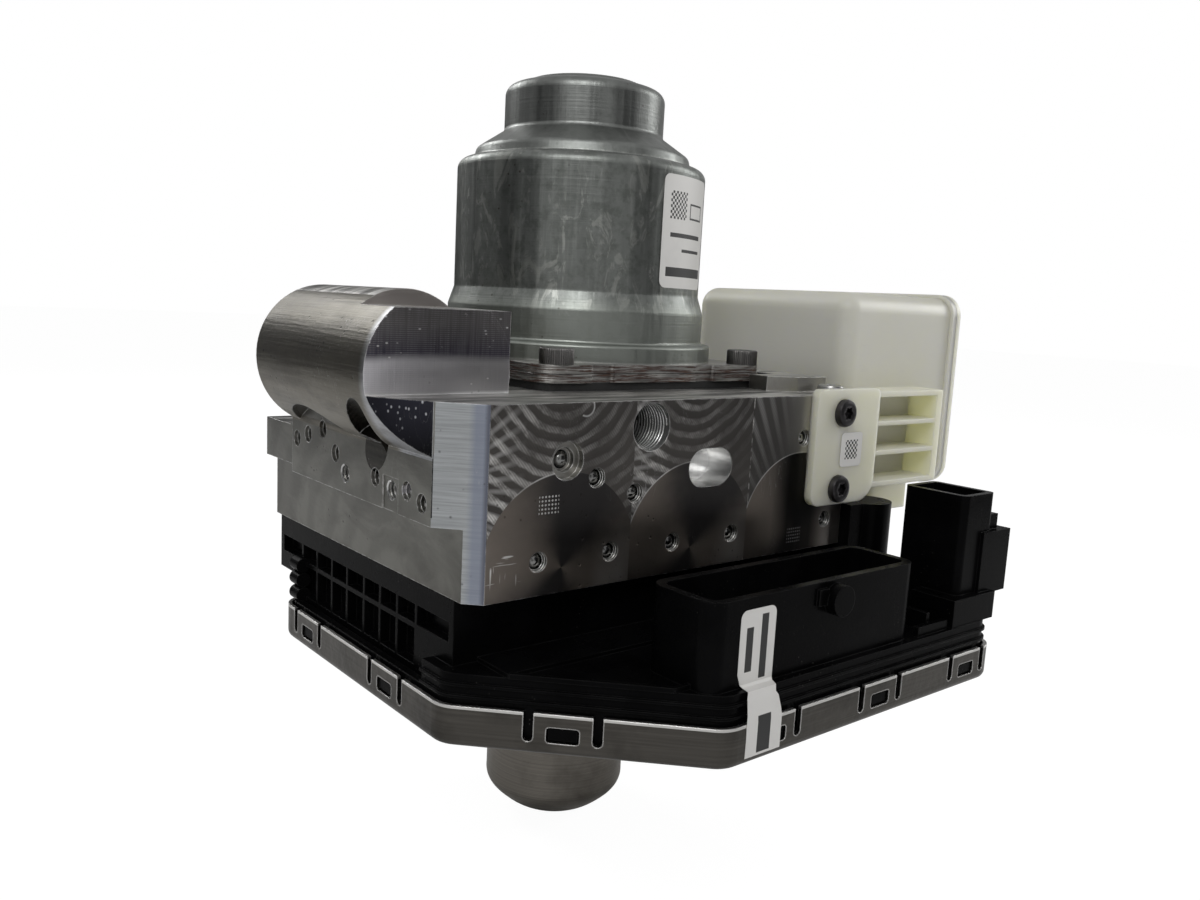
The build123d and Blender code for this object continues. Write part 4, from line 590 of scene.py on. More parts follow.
def drawn_zinc(settings):
    """Zinc-coated drawn can: vertical streaks, fine rings, rust specks and rubbed edges, partly painted
    highlights.
    """
    finish = Finish("drawn_zinc", metallic=1.0)
    radius, angle, z = finish.about_axis()
    around = angle * CAN_GIRTH
    skin = finish.join(around, z, radius)
    streaks = finish.streaks((420.0, 18.0, 60.0), 4.0, 0.6, where=skin)
    broad = finish.streaks((45.0, 7.0, 30.0), 2.0, where=skin)
    rings = finish.streaks((4.0, 1400.0, 1400.0), where=skin)
    spangle = finish.cloud(240.0, 3.0, 0.7)
    specks = finish.dots(300.0, 0.05, 0.14)
    specks = specks * finish.cloud(40.0).span(0.50, 0.62)
    tone = broad.span(0.35, 0.65).blend(toned(settings.steel, 0.60), settings.steel)
    tone = (streaks.span(0.50, 0.75) * 0.25).blend(tone, (0.45, 0.46, 0.44))
    tone = (spangle.span(0.46, 0.66) * 0.6).blend(tone, (0.13, 0.14, 0.128))
    drips = finish.streaks((170.0, 60.0, 100.0), 4.0, 0.65, 1.5, where=skin)
    drips = drips.span(0.54, 0.62) * z.between(*CAN_BODY)
    tone = (drips * 0.5).blend(tone, (0.44, 0.45, 0.42))
    # Dull grey-green foot below the waist, darker neck and shoulders
    foot = z.span(0.024, 0.028, 1.0, 0.0)
    tone = (foot * 0.6).blend(tone, (0.33, 0.35, 0.32))
    crown = z.span(0.070, 0.078)
    tone = (crown * 0.5).blend(tone, (0.20, 0.205, 0.20))
    # Edges lightened as rubbed wear and as painted highlights
    tone = (finish.edges(0.0012, 0.01, 0.12) * 0.7).blend(tone, (0.80, 0.80, 0.78))
    tone = (specks * 0.8).blend(tone, (0.05, 0.035, 0.028))
    rough = streaks.span(0.3, 0.7, 0.33, 0.45) + foot * 0.05
    finish.set(Base_Color=tone, Roughness=rough)
    deep, fine = 0.0006 * settings.streaks, 0.00024 * settings.streaks
    finish.bump([(broad, deep), (streaks, fine), (rings, 0.00006), (specks, 0.00003)])
    return finish.material


def rusty_sheet(settings):
    """Sheet steel: grey faces with dust, dark rust on the cut edges."""
    finish = Finish("rusty_sheet")
    nz = finish.split(finish.facing)[2]
    cut = finish.math("ABSOLUTE", nz) < 0.5
    patch = finish.cloud(190.0, 5.0, 0.7)
    runs = finish.streaks((60.0, 60.0, 900.0))
    along = finish.streaks((110.0, 110.0, 2600.0), 4.0, 0.6)
    rust = cut * along.span(0.50, 0.56)
    tone = runs.span(0.35, 0.65).blend((0.14, 0.135, 0.13), (0.50, 0.49, 0.47))
    tone = rust.blend(tone, patch.span(0.5, 0.75).blend(settings.rust, (0.10, 0.048, 0.028)))
    finish.set(Base_Color=tone, Metallic=0.9 - rust * 0.8, Roughness=rust.span(0.0, 1.0, 0.42, 0.75))
    finish.bump([(patch, 0.00016), (runs, 0.0002)], bevel=0.0003)
    return finish.material


def metal(name, low, high, roughness, grain=600.0, depth=0.00003, bevel=0.0002, stretch=(1.0, 1.0, 1.0)):
    """Plain metal with a fine grain and a slow change of tone."""
    finish = Finish(name, metallic=1.0)
    cloud = finish.cloud(90.0)
    fine = finish.noise(finish.stretched(stretch), grain, 3.0, 0.6)
    tone = cloud.span(0.35, 0.65).blend(low, high)
    finish.set(Base_Color=tone, Roughness=fine.span(0.3, 0.7, roughness * 0.85, roughness * 1.2))
    finish.bump([(fine, depth)], bevel=bevel)
    return finish.material


def moulded(
    name, base, roughness, grain=1500.0, depth=0.00003, edge=None, bevel=0.0004, dust=0.0, gloss=0.35
):
    """Moulded plastic or rubber: fine grain, rubbed edges that are partly painted highlights, and a little dust
    in patches.
    """
    finish = Finish(name, Specular_IOR_Level=gloss)
    fine = finish.cloud(grain, 2.0)
    cloud = finish.cloud(55.0)
    tone = cloud.span(0.4, 0.7).blend(base, [min(1.0, c * 1.5 + 0.001) for c in base])
    if edge is not None:
        # Edges lightened as rubbing and as painted highlights
        rub_and_highlight = finish.edges(bevel * 1.5) * finish.cloud(130.0).span(0.3, 0.7)
        tone = rub_and_highlight.blend(tone, edge)
    if dust:
        motes = finish.dots(520.0, 0.04, 0.13)
        motes = motes * finish.cloud(30.0).span(0.5, 0.7)
        tone = (motes * dust).blend(tone, (0.35, 0.34, 0.31))
    finish.set(Base_Color=tone, Roughness=cloud.span(0.3, 0.7, roughness * 0.85, roughness * 1.15))
    finish.bump([(fine, depth)], bevel=bevel)
    return finish.material


def milky_plastic(settings):
    """Translucent moulded plastic with faint flow marks and scuffs."""
    finish = Finish(
        "milky_plastic", Subsurface_Weight=0.75, Subsurface_Scale=0.012, Transmission_Weight=0.0, IOR=1.5
    )
    finish.shader.inputs["Subsurface Radius"].default_value = (1.0, 1.0, 0.7)
    flow = finish.cloud(18.0)
    fine = finish.cloud(900.0, 2.0)
    tone = flow.span(0.35, 0.7).blend(settings.tank, (0.79, 0.775, 0.63))
    scuffs = finish.streaks((90.0, 90.0, 600.0), 2.0).span(0.62, 0.72)
    tone = (scuffs * 0.15).blend(tone, (0.70, 0.68, 0.58))
    finish.set(Base_Color=tone, Roughness=flow.span(0.3, 0.7, 0.34, 0.44))
    finish.bump([(flow, 0.0003), (fine, 0.00001)], bevel=0.0007)
    return finish.material


def pan_sheet(settings):
    """Drawn and brushed cover sheet with a painted highlight along its upper rim and bright edges, partly
    rubbed and partly painted highlights.
    """
    finish = Finish("pan_sheet", metallic=1.0)
    z = finish.split(finish.where)[2]
    brushed = finish.streaks((25.0, 25.0, 1400.0))
    cloud = finish.cloud(50.0, 4.0, 0.6)
    tone = brushed.span(0.3, 0.7).blend(toned(settings.pan, 0.7), settings.pan)
    tone = cloud.span(0.48, 0.7).blend(tone, toned(settings.pan, 0.55))
    # Painted highlight along the upper rim, and edges lightened as rubbing and as painted highlights
    rim = z > PAN_RIM
    tone = (rim * 0.7).blend(tone, (0.85, 0.84, 0.81))
    tone = (finish.edges(0.0008) * 0.8).blend(tone, (0.92, 0.91, 0.89))
    finish.set(Base_Color=tone, Roughness=brushed.span(0.2, 0.8, 0.28, 0.40))
    finish.bump([(brushed, 0.00010), (cloud, 0.0006)], bevel=0.0004)
    return finish.material


def sticker_finish(name, settings, shapes):
    """Matt paper film; shapes is a function of the finish that gives the ink's mask."""
    finish = Finish(name)
    fibre = finish.cloud(1600.0, 2.0)
    smudge = finish.cloud(70.0)
    tone = smudge.span(0.55, 0.8).blend(settings.paper, toned(settings.paper, 0.88))
    tone = shapes(finish).blend(tone, settings.ink)
    finish.set(Base_Color=tone, Roughness=0.48)
    finish.bump([(fibre, 0.00001)])
    return finish.material


# Meshes and Geometry Nodes

def points_object(name, points):
    """Object whose vertices are the places where a tree sets its pieces."""
    mesh = bpy.data.meshes.new(name)
    mesh.from_pydata(points, [], [])
    made = bpy.data.objects.new(name, mesh)
    bpy.context.scene.collection.objects.link(made)
    return made


class Tree(Sheet):
    """One Geometry Nodes tree with named inputs."""

    def __init__(self, name, sizes):
        super().__init__(bpy.data.node_groups.new(name, "GeometryNodeTree"))
        face = self.tree.interface
        face.new_socket("Geometry", in_out="INPUT", socket_type="NodeSocketGeometry")
        kinds = {float: "Float", int: "Int", tuple: "Vector", type(None): "Material"}
        self.sizes = {"Facing": (0.0, 0.0, 1.0), **sizes, "Material": None}
        self.ids = {}
        for key, value in self.sizes.items():
            made = face.new_socket(key, in_out="INPUT", socket_type="NodeSocket" + kinds[type(value)])
            if value is not None:
                made.default_value = value
            self.ids[key] = made.identifier
        face.new_socket("Geometry", in_out="OUTPUT", socket_type="NodeSocketGeometry")
        self.input = {socket.name: Field(self, socket) for socket in self.add("NodeGroupInput").outputs}

    def place(self, instance):
        """Copies of a piece on the points, its own Z turned to Facing, as real geometry."""
        turn = self.field("FunctionNodeAlignRotationToVector", {"Vector": self.input["Facing"]}, axis="Z")
        links = {"Points": self.input["Geometry"], "Instance": instance, "Rotation": turn}
        copies = self.field("GeometryNodeInstanceOnPoints", links)
        return self.field("GeometryNodeRealizeInstances", {0: copies})

    def close(self, geometry):
        """Ends the tree with its material."""
        merged = self.field("GeometryNodeMergeByDistance", {"Geometry": geometry, "Distance": 1e-6})
        links = {"Geometry": merged, "Material": self.input["Material"]}
        painted = self.field("GeometryNodeSetMaterial", links)
        self.add("NodeGroupOutput", {0: painted})

    def moved(self, geometry, **links):
        return self.field("GeometryNodeSetPosition", {"Geometry": geometry, **links})

    def sunk(self, geometry, depth):
        """Geometry lowered along its own Z."""
        shift = self.join(0.0, 0.0, depth * -1.0)
        return self.field("GeometryNodeTransform", {"Geometry": geometry, "Translation": shift})

    def ring(self, resolution, radius):
        return self.field("GeometryNodeCurvePrimitiveCircle", {"Resolution": resolution, "Radius": radius})

    def raised(self, mesh, selection, height, scale):
        """Extrudes faces upwards and scales the new top; gives the mesh and its top."""
        links = {"Mesh": mesh, "Selection": selection, "Offset": (0.0, 0.0, 1.0)}
        lift = self.add("GeometryNodeExtrudeMesh", {**links, "Offset Scale": height, "Individual": False})
        top = Field(self, lift.outputs["Top"])
        links = {"Geometry": Field(self, lift.outputs["Mesh"]), "Selection": top, "Scale": scale}
        return self.field("GeometryNodeScaleElements", links), top


def grown(name, tree, points, material, body, node=None, slot=None, smooth=30.0, **sizes):
    """Runs a tree on points, turns the result into a plain mesh and lets it ride on a body."""
    made = points_object(name + "_points", points)
    modifier = made.modifiers.new("Nodes", "NODES")
    modifier.node_group = tree.tree
    for key, value in {**tree.sizes, **sizes, "Material": material}.items():
        modifier[tree.ids[key]] = value
    bpy.context.view_layer.update()
    graph = bpy.context.evaluated_depsgraph_get()
    mesh = bpy.data.meshes.new_from_object(made.evaluated_get(graph))
    made.modifiers.clear()
    bpy.data.objects.remove(made)
    mesh.name = name
    mesh.shade_smooth()
    mesh.set_sharp_from_angle(angle=math.radians(smooth))
    piece = bpy.data.objects.new(name, mesh)
    bpy.context.scene.collection.objects.link(piece)
    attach(piece, body)
    if node:
        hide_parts(node)


def screw_tree():
    """Screw with a rounded head, a lobed or six-sided socket, an optional knurl, and a shank."""
    tree = Tree(
        "screw",
        {
            "Head radius": 0.005, "Head height": 0.0046, "Edge": 0.0005, "Socket radius": 0.0027,
            "Socket depth": 0.0024, "Lobes": 0.0, "Knurl": 0.0, "Shank radius": 0.003, "Shank length": 0.012,
        },
    )
    size = tree.input
    head, edge, socket = size["Head radius"], size["Edge"], size["Socket radius"]
    inner = head - edge
    soft = (inner + edge * 0.7) / head
    disc = tree.field("GeometryNodeMeshCircle", {"Vertices": 96, "Radius": head}, fill_type="NGON")
    solid, top = tree.raised(disc, True, size["Head height"] - edge, 1.0)
    x, y, z = tree.split(tree.field("GeometryNodeInputPosition"))
    ridge = tree.math("COSINE", tree.math("ARCTAN2", y, x) * KNURL_RIDGES) * size["Knurl"]
    solid = tree.moved(solid, Offset=tree.scaled(tree.vector("NORMALIZE", tree.join(x, y, 0.0)), ridge))
    solid, top = tree.raised(solid, top, edge * 0.7, soft)
    solid, top = tree.raised(solid, top, edge * 0.3, inner / (head * soft))
    solid, top = tree.raised(solid, top, 0.0, socket * SOCKET_CHAMFER / inner)
    solid, top = tree.raised(solid, top, socket * -0.08, 1.0 / SOCKET_CHAMFER)
    # The socket's rim: six flats, or six lobes
    x, y, z = tree.split(tree.field("GeometryNodeInputPosition"))
    turn = tree.math("ARCTAN2", y, x)
    sixth = 2 * math.pi / SOCKET_SIDES
    wedge = tree.math("FLOORED_MODULO", turn, sixth) - sixth / 2
    flat = math.cos(sixth / 2) / tree.math("COSINE", wedge)
    lobed = 0.88 + tree.math("COSINE", turn * SOCKET_SIDES) * 0.12
    rim = socket * (flat * (1.0 - size["Lobes"]) + lobed * size["Lobes"])
    place = tree.join(tree.math("COSINE", turn) * rim, tree.math("SINE", turn) * rim, z)
    solid = tree.moved(solid, Selection=top, Position=place)
    solid, top = tree.raised(solid, top, size["Socket depth"] * -1.0, 0.96)
    links = {"Vertices": 32, "Radius": size["Shank radius"], "Depth": size["Shank length"]}
    shank = tree.sunk(tree.field("GeometryNodeMeshCylinder", links), size["Shank length"] * 0.5)
    whole = tree.add("GeometryNodeJoinGeometry")
    tree.feed(whole.inputs[0], solid)
    tree.feed(whole.inputs[0], shank)
    tree.close(tree.place(Field(tree, whole.outputs[0])))
    return tree


def thread_tree():
    """Helical thread ridges that line a hole."""
    tree = Tree("thread", {"Radius": 0.0027, "Pitch": 0.0008, "Turns": 10.0, "Ridge": 0.00035})
    size = tree.input
    depth = size["Pitch"] * size["Turns"]
    links = {"Resolution": 32, "Rotations": size["Turns"], "Height": depth}
    spiral = tree.field(
        "GeometryNodeCurveSpiral", {**links, "Start Radius": size["Radius"], "End Radius": size["Radius"]}
    )
    links = {"Curve": spiral, "Profile Curve": tree.ring(4, size["Ridge"]), "Fill Caps": True}
    ridge = tree.field("GeometryNodeCurveToMesh", links)
    tree.close(tree.place(tree.sunk(ridge, depth)))
    return tree


def stake_tree():
    """Staked ring round a ball plug, a little uneven."""
    tree = Tree("stake", {"Ring radius": 0.0024, "Bead": 0.00013, "Uneven": 0.00012, "Seed": 3})
    size = tree.input
    links = {"Curve": tree.ring(40, size["Ring radius"]), "Profile Curve": tree.ring(8, size["Bead"])}
    placed = tree.place(tree.field("GeometryNodeCurveToMesh", links))
    links = {"Scale": 900.0, "W": size["Seed"]}
    bumps = tree.field("ShaderNodeTexNoise", links, output=1, noise_dimensions="4D")
    shift = tree.scaled(tree.vector("SUBTRACT", bumps, (0.5, 0.5, 0.5)), size["Uneven"])
    tree.close(tree.moved(placed, Offset=shift))
    return tree


def paint(material, *nodes):
    """Gives CAD nodes a finish."""
    for name in nodes:
        mesh = NODES[name].data
        mesh.materials.clear()
        mesh.materials.append(material)


def rounded_rows(start, end, low, high, corner, middle=2):
    """Rows (along, low, high) of a rectangle with rounded corners."""
    quarter = [corner * (1 - math.cos(math.pi / 2 * step / 6)) for step in range(7)]
    straight = end - start - 2 * corner
    rows = [(start + s, s) for s in quarter]
    rows += [(start + corner + straight * step / middle, corner) for step in range(1, middle)]
    rows += [(end - s, s) for s in reversed(quarter)]
    made = []
    for along, s in rows:
        inset = corner - math.sqrt(max(0.0, corner**2 - (corner - s) ** 2))
        made.append((along, low + inset, high - inset))
    return made


def film(name, rows, place, material, thickness, node):
    """Thin sticker over rows (along, low, high); place turns (along, across, lift) into a point."""
    corners = []
    for along, low, high in rows:
        corners += [place(along, low, 0.0), place(along, high, 0.0)]
        corners += [place(along, high, thickness), place(along, low, thickness)]
    faces = []
    for row in range(len(rows) - 1):
        for corner in range(4):
            a = 4 * row + corner
            b = 4 * row + (corner + 1) % 4
            faces.append((a, b, b + 4, a + 4))
    last = 4 * (len(rows) - 1)
    faces += [(0, 1, 2, 3), (last, last + 1, last + 2, last + 3)]
    mesh = bpy.data.meshes.new(name)
    mesh.from_pydata(corners, [], faces)
    shell = bmesh.new()
    shell.from_mesh(mesh)
    bmesh.ops.recalc_face_normals(shell, faces=shell.faces)
    shell.to_mesh(mesh)
    shell.free()
    mesh.materials.append(material)
    mesh.shade_smooth()
    mesh.set_sharp_from_angle(angle=math.radians(40.0))
    piece = bpy.data.objects.new(name, mesh)
    bpy.context.scene.collection.objects.link(piece)
    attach(piece, "unit")
    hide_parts(node)


# Places, in metres

def in_metres(*points):
    return [tuple(value / 1000 for value in point) for point in points]


# Ball plugs of the front as (x, z) and of the left side as (y, z)
FRONT_SPOTS = (
    (-48.0, -21.1), (-33.7, -26.5), (39.5, -14.0), (44.4, -20.3), (-66.8, -42.6), (-41.8, -42.6),
    (-17.7, -42.6), (7.6, -42.6), (53.7, -42.6),
)
SIDE_SPOTS = (
    (20.6, -21.1), (12.1, -18.6), (1.4, -15.6), (-7.7, -21.7), (-33.6, -24.6), (-51.8, -25.3), (-59.7, -27.2),
)
FRONT_STAKES = in_metres(*((x, -73.6, z) for x, z in FRONT_SPOTS))
SIDE_STAKES = in_metres(*((-92.6, y, z) for y, z in SIDE_SPOTS))
SIDE_THREADS = in_metres((-93.8, -14.7, -26.7), (-93.4, -42.8, -26.7))
MOTOR_SCREWS = [(sx * 0.0405, sy * 0.044, 0.0078) for sx in (-1, 1) for sy in (-1, 1)]
BRACKET_SCREWS = in_metres((55.5, -78.0, -5.8), (55.2, -78.0, -31.6))
PAD_SCREW = in_metres((57.5, -70.0, 0.0))
OPEN_PORT = in_metres((-28.6, -73.6, -7.7))
LEFT = (-1.0, 0.0, 0.0)
FORWARD = (0.0, -1.0, 0.0)
BRACKET_FACE = -0.07802
# The seal strip's way down the socket, over the step and down the pan, as (y, z)
STRIP_WAY = in_metres(
    (-119.02, -49.2), (-119.02, -69.2), (-119.7, -69.9), (-122.2, -69.9), (-123.0, -72.5), (-123.52, -78.2),
    (-123.52, -87.2),
)
STRIP_EDGES = (-0.0342, -0.0207)
# Along the way, what is cut off on the strip's left and on its right
STRIP_WAIST = (
    (0.85, 0.0, 0.0), (1.0, 0.0011, 0.0), (2.0, 0.0016, 0.0004), (3.0, 0.0010, 0.0018), (3.6, 0.0004, 0.0022),
    (4.0, 0.0002, 0.0014), (4.6, 0.0003, 0.0004), (5.0, 0.0, 0.0), (5.5, 0.0001, 0.0), (6.0, 0.0, 0.0),
)
# Printed shapes, each (left, right, low, high)
MOTOR_LABEL_TURN = 71.0 / 360.0
MOTOR_BARS = (
    (-0.0118, 0.0125, 0.0362, 0.0392), (-0.0105, 0.0095, 0.0488, 0.0502), (-0.0040, 0.0095, 0.0442, 0.0452),
)
MOTOR_FRAME = ((0.000, 0.0100, 0.0550, 0.0602), (0.0006, 0.0094, 0.0556, 0.0596))
STRIP_BARS = (
    (-0.0318, -0.0292, -0.066, -0.0540), (-0.0262, -0.0236, -0.0685, -0.0510),
    (-0.0300, -0.0250, -0.0865, -0.0765),
)
# Screws: the node they stand for, their slot, and sizes beside those in the settings
KNURL = 0.00008
SCREW_KINDS = {
    "motor_screw": ("motor_screws", "black_steel", {
        "Knurl": KNURL, "Edge": 0.0006, "Socket radius": 0.0029, "Socket depth": 0.0026,
        "Shank radius": 0.0029, "Shank length": 0.0215,
    }),
    "bracket_screw": ("bracket_screws", "black_steel", {
        "Facing": FORWARD, "Edge": 0.0012, "Socket radius": 0.0023, "Socket depth": 0.0017, "Lobes": 1.0,
        "Shank radius": 0.0024, "Shank length": 0.0125,
    }),
    "pad_screw": ("pad_screw", "bright_steel", {
        "Edge": 0.001, "Socket radius": 0.0021, "Socket depth": 0.0015, "Lobes": 1.0,
        "Shank radius": 0.0024, "Shank length": 0.0028,
    }),
}
# Pieces that share a finish
TURNED = (
    "plunger_cylinder", "plunger", "primary_piston", "secondary_piston", "simulator_piston", "simulator_plug",
)
PLAIN_STEEL = (
    "rotor_hub", "ball_nut", "screw_spindle", "guide_rod", "push_rod", "retaining_ring", "primary_spring",
    "secondary_spring", "simulator_spring", "coil_yokes",
)
GROUND_STEEL = (
    "lower_bearing_balls", "lower_bearing_inner", "lower_bearing_outer", "upper_bearing_balls",
    "upper_bearing_inner", "upper_bearing_outer", "solenoid_valves", "pressure_sensors",
)
RUBBER = (
    "motor_gasket", "plunger_seals", "piston_seals", "rod_boot", "cover_seal", "cylinder_seal",
    "outlet_grommets",
)


# The stage: lamps (name, place, size, power), cards (name, place, width, height) and the camera
WHITE = (1.0, 1.0, 1.0)
FLOOR_SIZE = 12.0
UNIT_MIDDLE = Vector((0.0, -0.03, -0.02))
LAMPS = (
    ("key", (-0.9, -0.9, 1.1), 0.9, "key"),
    ("fill", (1.3, -0.5, 0.5), 0.7, "fill"),
    ("back", (-0.3, 1.3, 0.8), 0.7, "fill"),
)
CARDS = (
    ("card_right", (0.50, -0.62, 0.02), 1.0, 0.9),
    ("card_left", (-0.75, 0.05, 0.0), 0.7, 0.8),
    ("card_front", (-0.35, -0.9, -0.02), 0.22, 0.8),
    ("card_back", (0.5, 0.8, 0.1), 0.8, 0.8),
    ("card_side", (-0.62, 0.78, -0.02), 0.5, 0.9),
    ("card_far", (-0.02, 1.0, 0.0), 0.42, 1.0),
    ("card_east", (1.0, 0.10, 0.1), 0.5, 0.9),
)
CAMERA_PLACE = (-0.22087, -0.28422, 0.02692)
CAMERA_RIGHT = Vector((0.77369, -0.63143, 0.05194))
CAMERA_DOWN = Vector((-0.05292, -0.14611, -0.98785))
CAMERA_AHEAD = Vector((0.63135, 0.76155, -0.14646))


# Operators

class Step:
    """One step of the build; make gets the scene."""

    def execute(self, context):
        self.make(context.scene)
        return {"FINISHED"}


class BRAKE_OT_block(Step, bpy.types.Operator):
    """Finishes the valve block and adds its threads and staked rings"""

    bl_idname = "brake.block"
    bl_label = "Valve block"

    def make(self, scene):
        paint(milled_aluminium(scene.brake_block), "valve_block")
        paint(metal("ground_steel", (0.16, 0.16, 0.16), (0.30, 0.30, 0.29), 0.2), "ball_plugs")
        bare = metal("cut_aluminium", (0.52, 0.52, 0.51), (0.66, 0.66, 0.65), 0.3)
        threads = thread_tree()
        stakes = stake_tree()
        side_hole = {"Radius": 0.0027, "Turns": 12.0, "Pitch": 0.001, "Ridge": 0.0004}
        port = {"Radius": 0.007, "Turns": 11.0, "Pitch": 0.0012, "Ridge": 0.0002}
        for name, tree, points, facing, sizes in (
            ("side_threads", threads, SIDE_THREADS, LEFT, side_hole),
            ("port_thread", threads, OPEN_PORT, FORWARD, port),
            ("front_stakes", stakes, FRONT_STAKES, FORWARD, {}),
            ("side_stakes", stakes, SIDE_STAKES, LEFT, {"Seed": 8}),
        ):
            grown(name, tree, points, bare, "unit", slot="machined_aluminium", Facing=facing, **sizes)


class BRAKE_OT_motor(Step, bpy.types.Operator):
    """Finishes the motor can and the sheets under it"""

    bl_idname = "brake.motor"
    bl_label = "Motor"

    def make(self, scene):
        settings = scene.brake_motor
        paint(drawn_zinc(settings), "motor_can")
        paint(rusty_sheet(settings), "mounting_plates")


class BRAKE_OT_screws(Step, bpy.types.Operator):
    """Makes the motor screws, the bracket screws and the silver screw"""

    bl_idname = "brake.screws"
    bl_label = "Screws"

    def make(self, scene):
        settings = scene.brake_screws
        steel = settings.motor_steel
        black = metal("black_oxide", settings.steel, toned(settings.steel, 1.8), 0.36, grain=1400.0)
        dark = metal("dark_steel", toned(steel, 0.6), steel, 0.32, grain=900.0, bevel=0.0004)
        silver = metal("plated_steel", (0.42, 0.42, 0.41), (0.60, 0.60, 0.59), 0.3)
        tree = screw_tree()
        for kind, points, material, radius, height in (
            ("motor_screw", MOTOR_SCREWS, dark, settings.motor_head - KNURL, settings.motor_height),
            ("bracket_screw", BRACKET_SCREWS, black, settings.bracket_head, settings.bracket_height),
            ("pad_screw", PAD_SCREW, silver, settings.pad_head, settings.pad_height),
        ):
            node, slot, more = SCREW_KINDS[kind]
            sizes = {"Head radius": radius, "Head height": height, **more}
            grown(kind + "_set", tree, points, material, "unit", node, slot, **sizes)
        paint(black, "housing_screws")


class BRAKE_OT_control_unit(Step, bpy.types.Operator):
    """Finishes the control unit's housing, board, contacts and pan"""

    bl_idname = "brake.control_unit"
    bl_label = "Control unit"

    def make(self, scene):
        housing = scene.brake_plastic.housing
        # The housing's edge colour is partly a painted highlight
        black = moulded("housing_plastic", housing, 0.27, edge=(0.02, 0.02, 0.02), dust=0.15, gloss=0.03)
        paint(black, "ecu_housing")
        paint(pan_sheet(scene.brake_sheets), "cover")
        paint(moulded("chip_plastic", (0.02, 0.02, 0.022), 0.5), "board_chips")
        paint(moulded("board_green", (0.02, 0.09, 0.04), 0.35, grain=500.0), "circuit_board")
        paint(metal("capacitor_can", (0.5, 0.5, 0.52), (0.62, 0.62, 0.64), 0.3), "capacitors")
        tin = metal("tinned_brass", (0.62, 0.60, 0.52), (0.76, 0.74, 0.66), 0.25)
        paint(tin, "signal_pins", "power_pins", "sensor_pins")


class BRAKE_OT_reservoir(Step, bpy.types.Operator):
    """Finishes the reservoir, its cap, float and level switch"""

    bl_idname = "brake.reservoir"
    bl_label = "Reservoir"

    def make(self, scene):
        plastic = scene.brake_plastic
        paint(milky_plastic(plastic), "reservoir_body", "reservoir_lid")
        # The cap's edge colour is partly a painted highlight
        paint(moulded("cap_plastic", plastic.cap, 0.42, edge=(0.12, 0.12, 0.12)), "filler_cap")
        paint(moulded("switch_plastic", (0.03, 0.03, 0.03), 0.4), "level_switch")
        paint(moulded("float_foam", (0.55, 0.50, 0.38), 0.8, grain=400.0, depth=0.0002), "float")


class BRAKE_OT_drive(Step, bpy.types.Operator):
    """Finishes the pump cylinder, the drive, the pistons, the valves and the seals"""

    bl_idname = "brake.drive"
    bl_label = "Drive and hydraulics"

    def make(self, scene):
        paint(turned_aluminium(), *TURNED)
        paint(metal("plain_steel", (0.36, 0.35, 0.34), (0.50, 0.49, 0.47), 0.32), *PLAIN_STEEL)
        paint(metal("bearing_steel", (0.56, 0.56, 0.56), (0.70, 0.70, 0.70), 0.14), *GROUND_STEEL)
        sheets = {"grain": 1.0, "depth": 0.0001, "stretch": (5.0, 5.0, 2500.0)}
        paint(metal("stacked_steel", (0.20, 0.20, 0.21), (0.30, 0.30, 0.31), 0.5, **sheets), "stator_core")
        turns = {"grain": 1.0, "depth": 0.0002, "stretch": (5.0, 5.0, 1500.0)}
        wire = metal("copper_wire", (0.62, 0.30, 0.14), (0.75, 0.38, 0.18), 0.35, **turns)
        paint(wire, "stator_coils", "valve_coils")
        paint(metal("magnet", (0.22, 0.22, 0.23), (0.30, 0.30, 0.31), 0.4), "rotor_magnets")
        rubber = scene.brake_plastic.rubber
        paint(moulded("rubber", rubber, 0.6, grain=900.0, depth=0.00005), *RUBBER)
        paint(moulded("guide_plastic", (0.03, 0.03, 0.03), 0.4), "rod_guide")


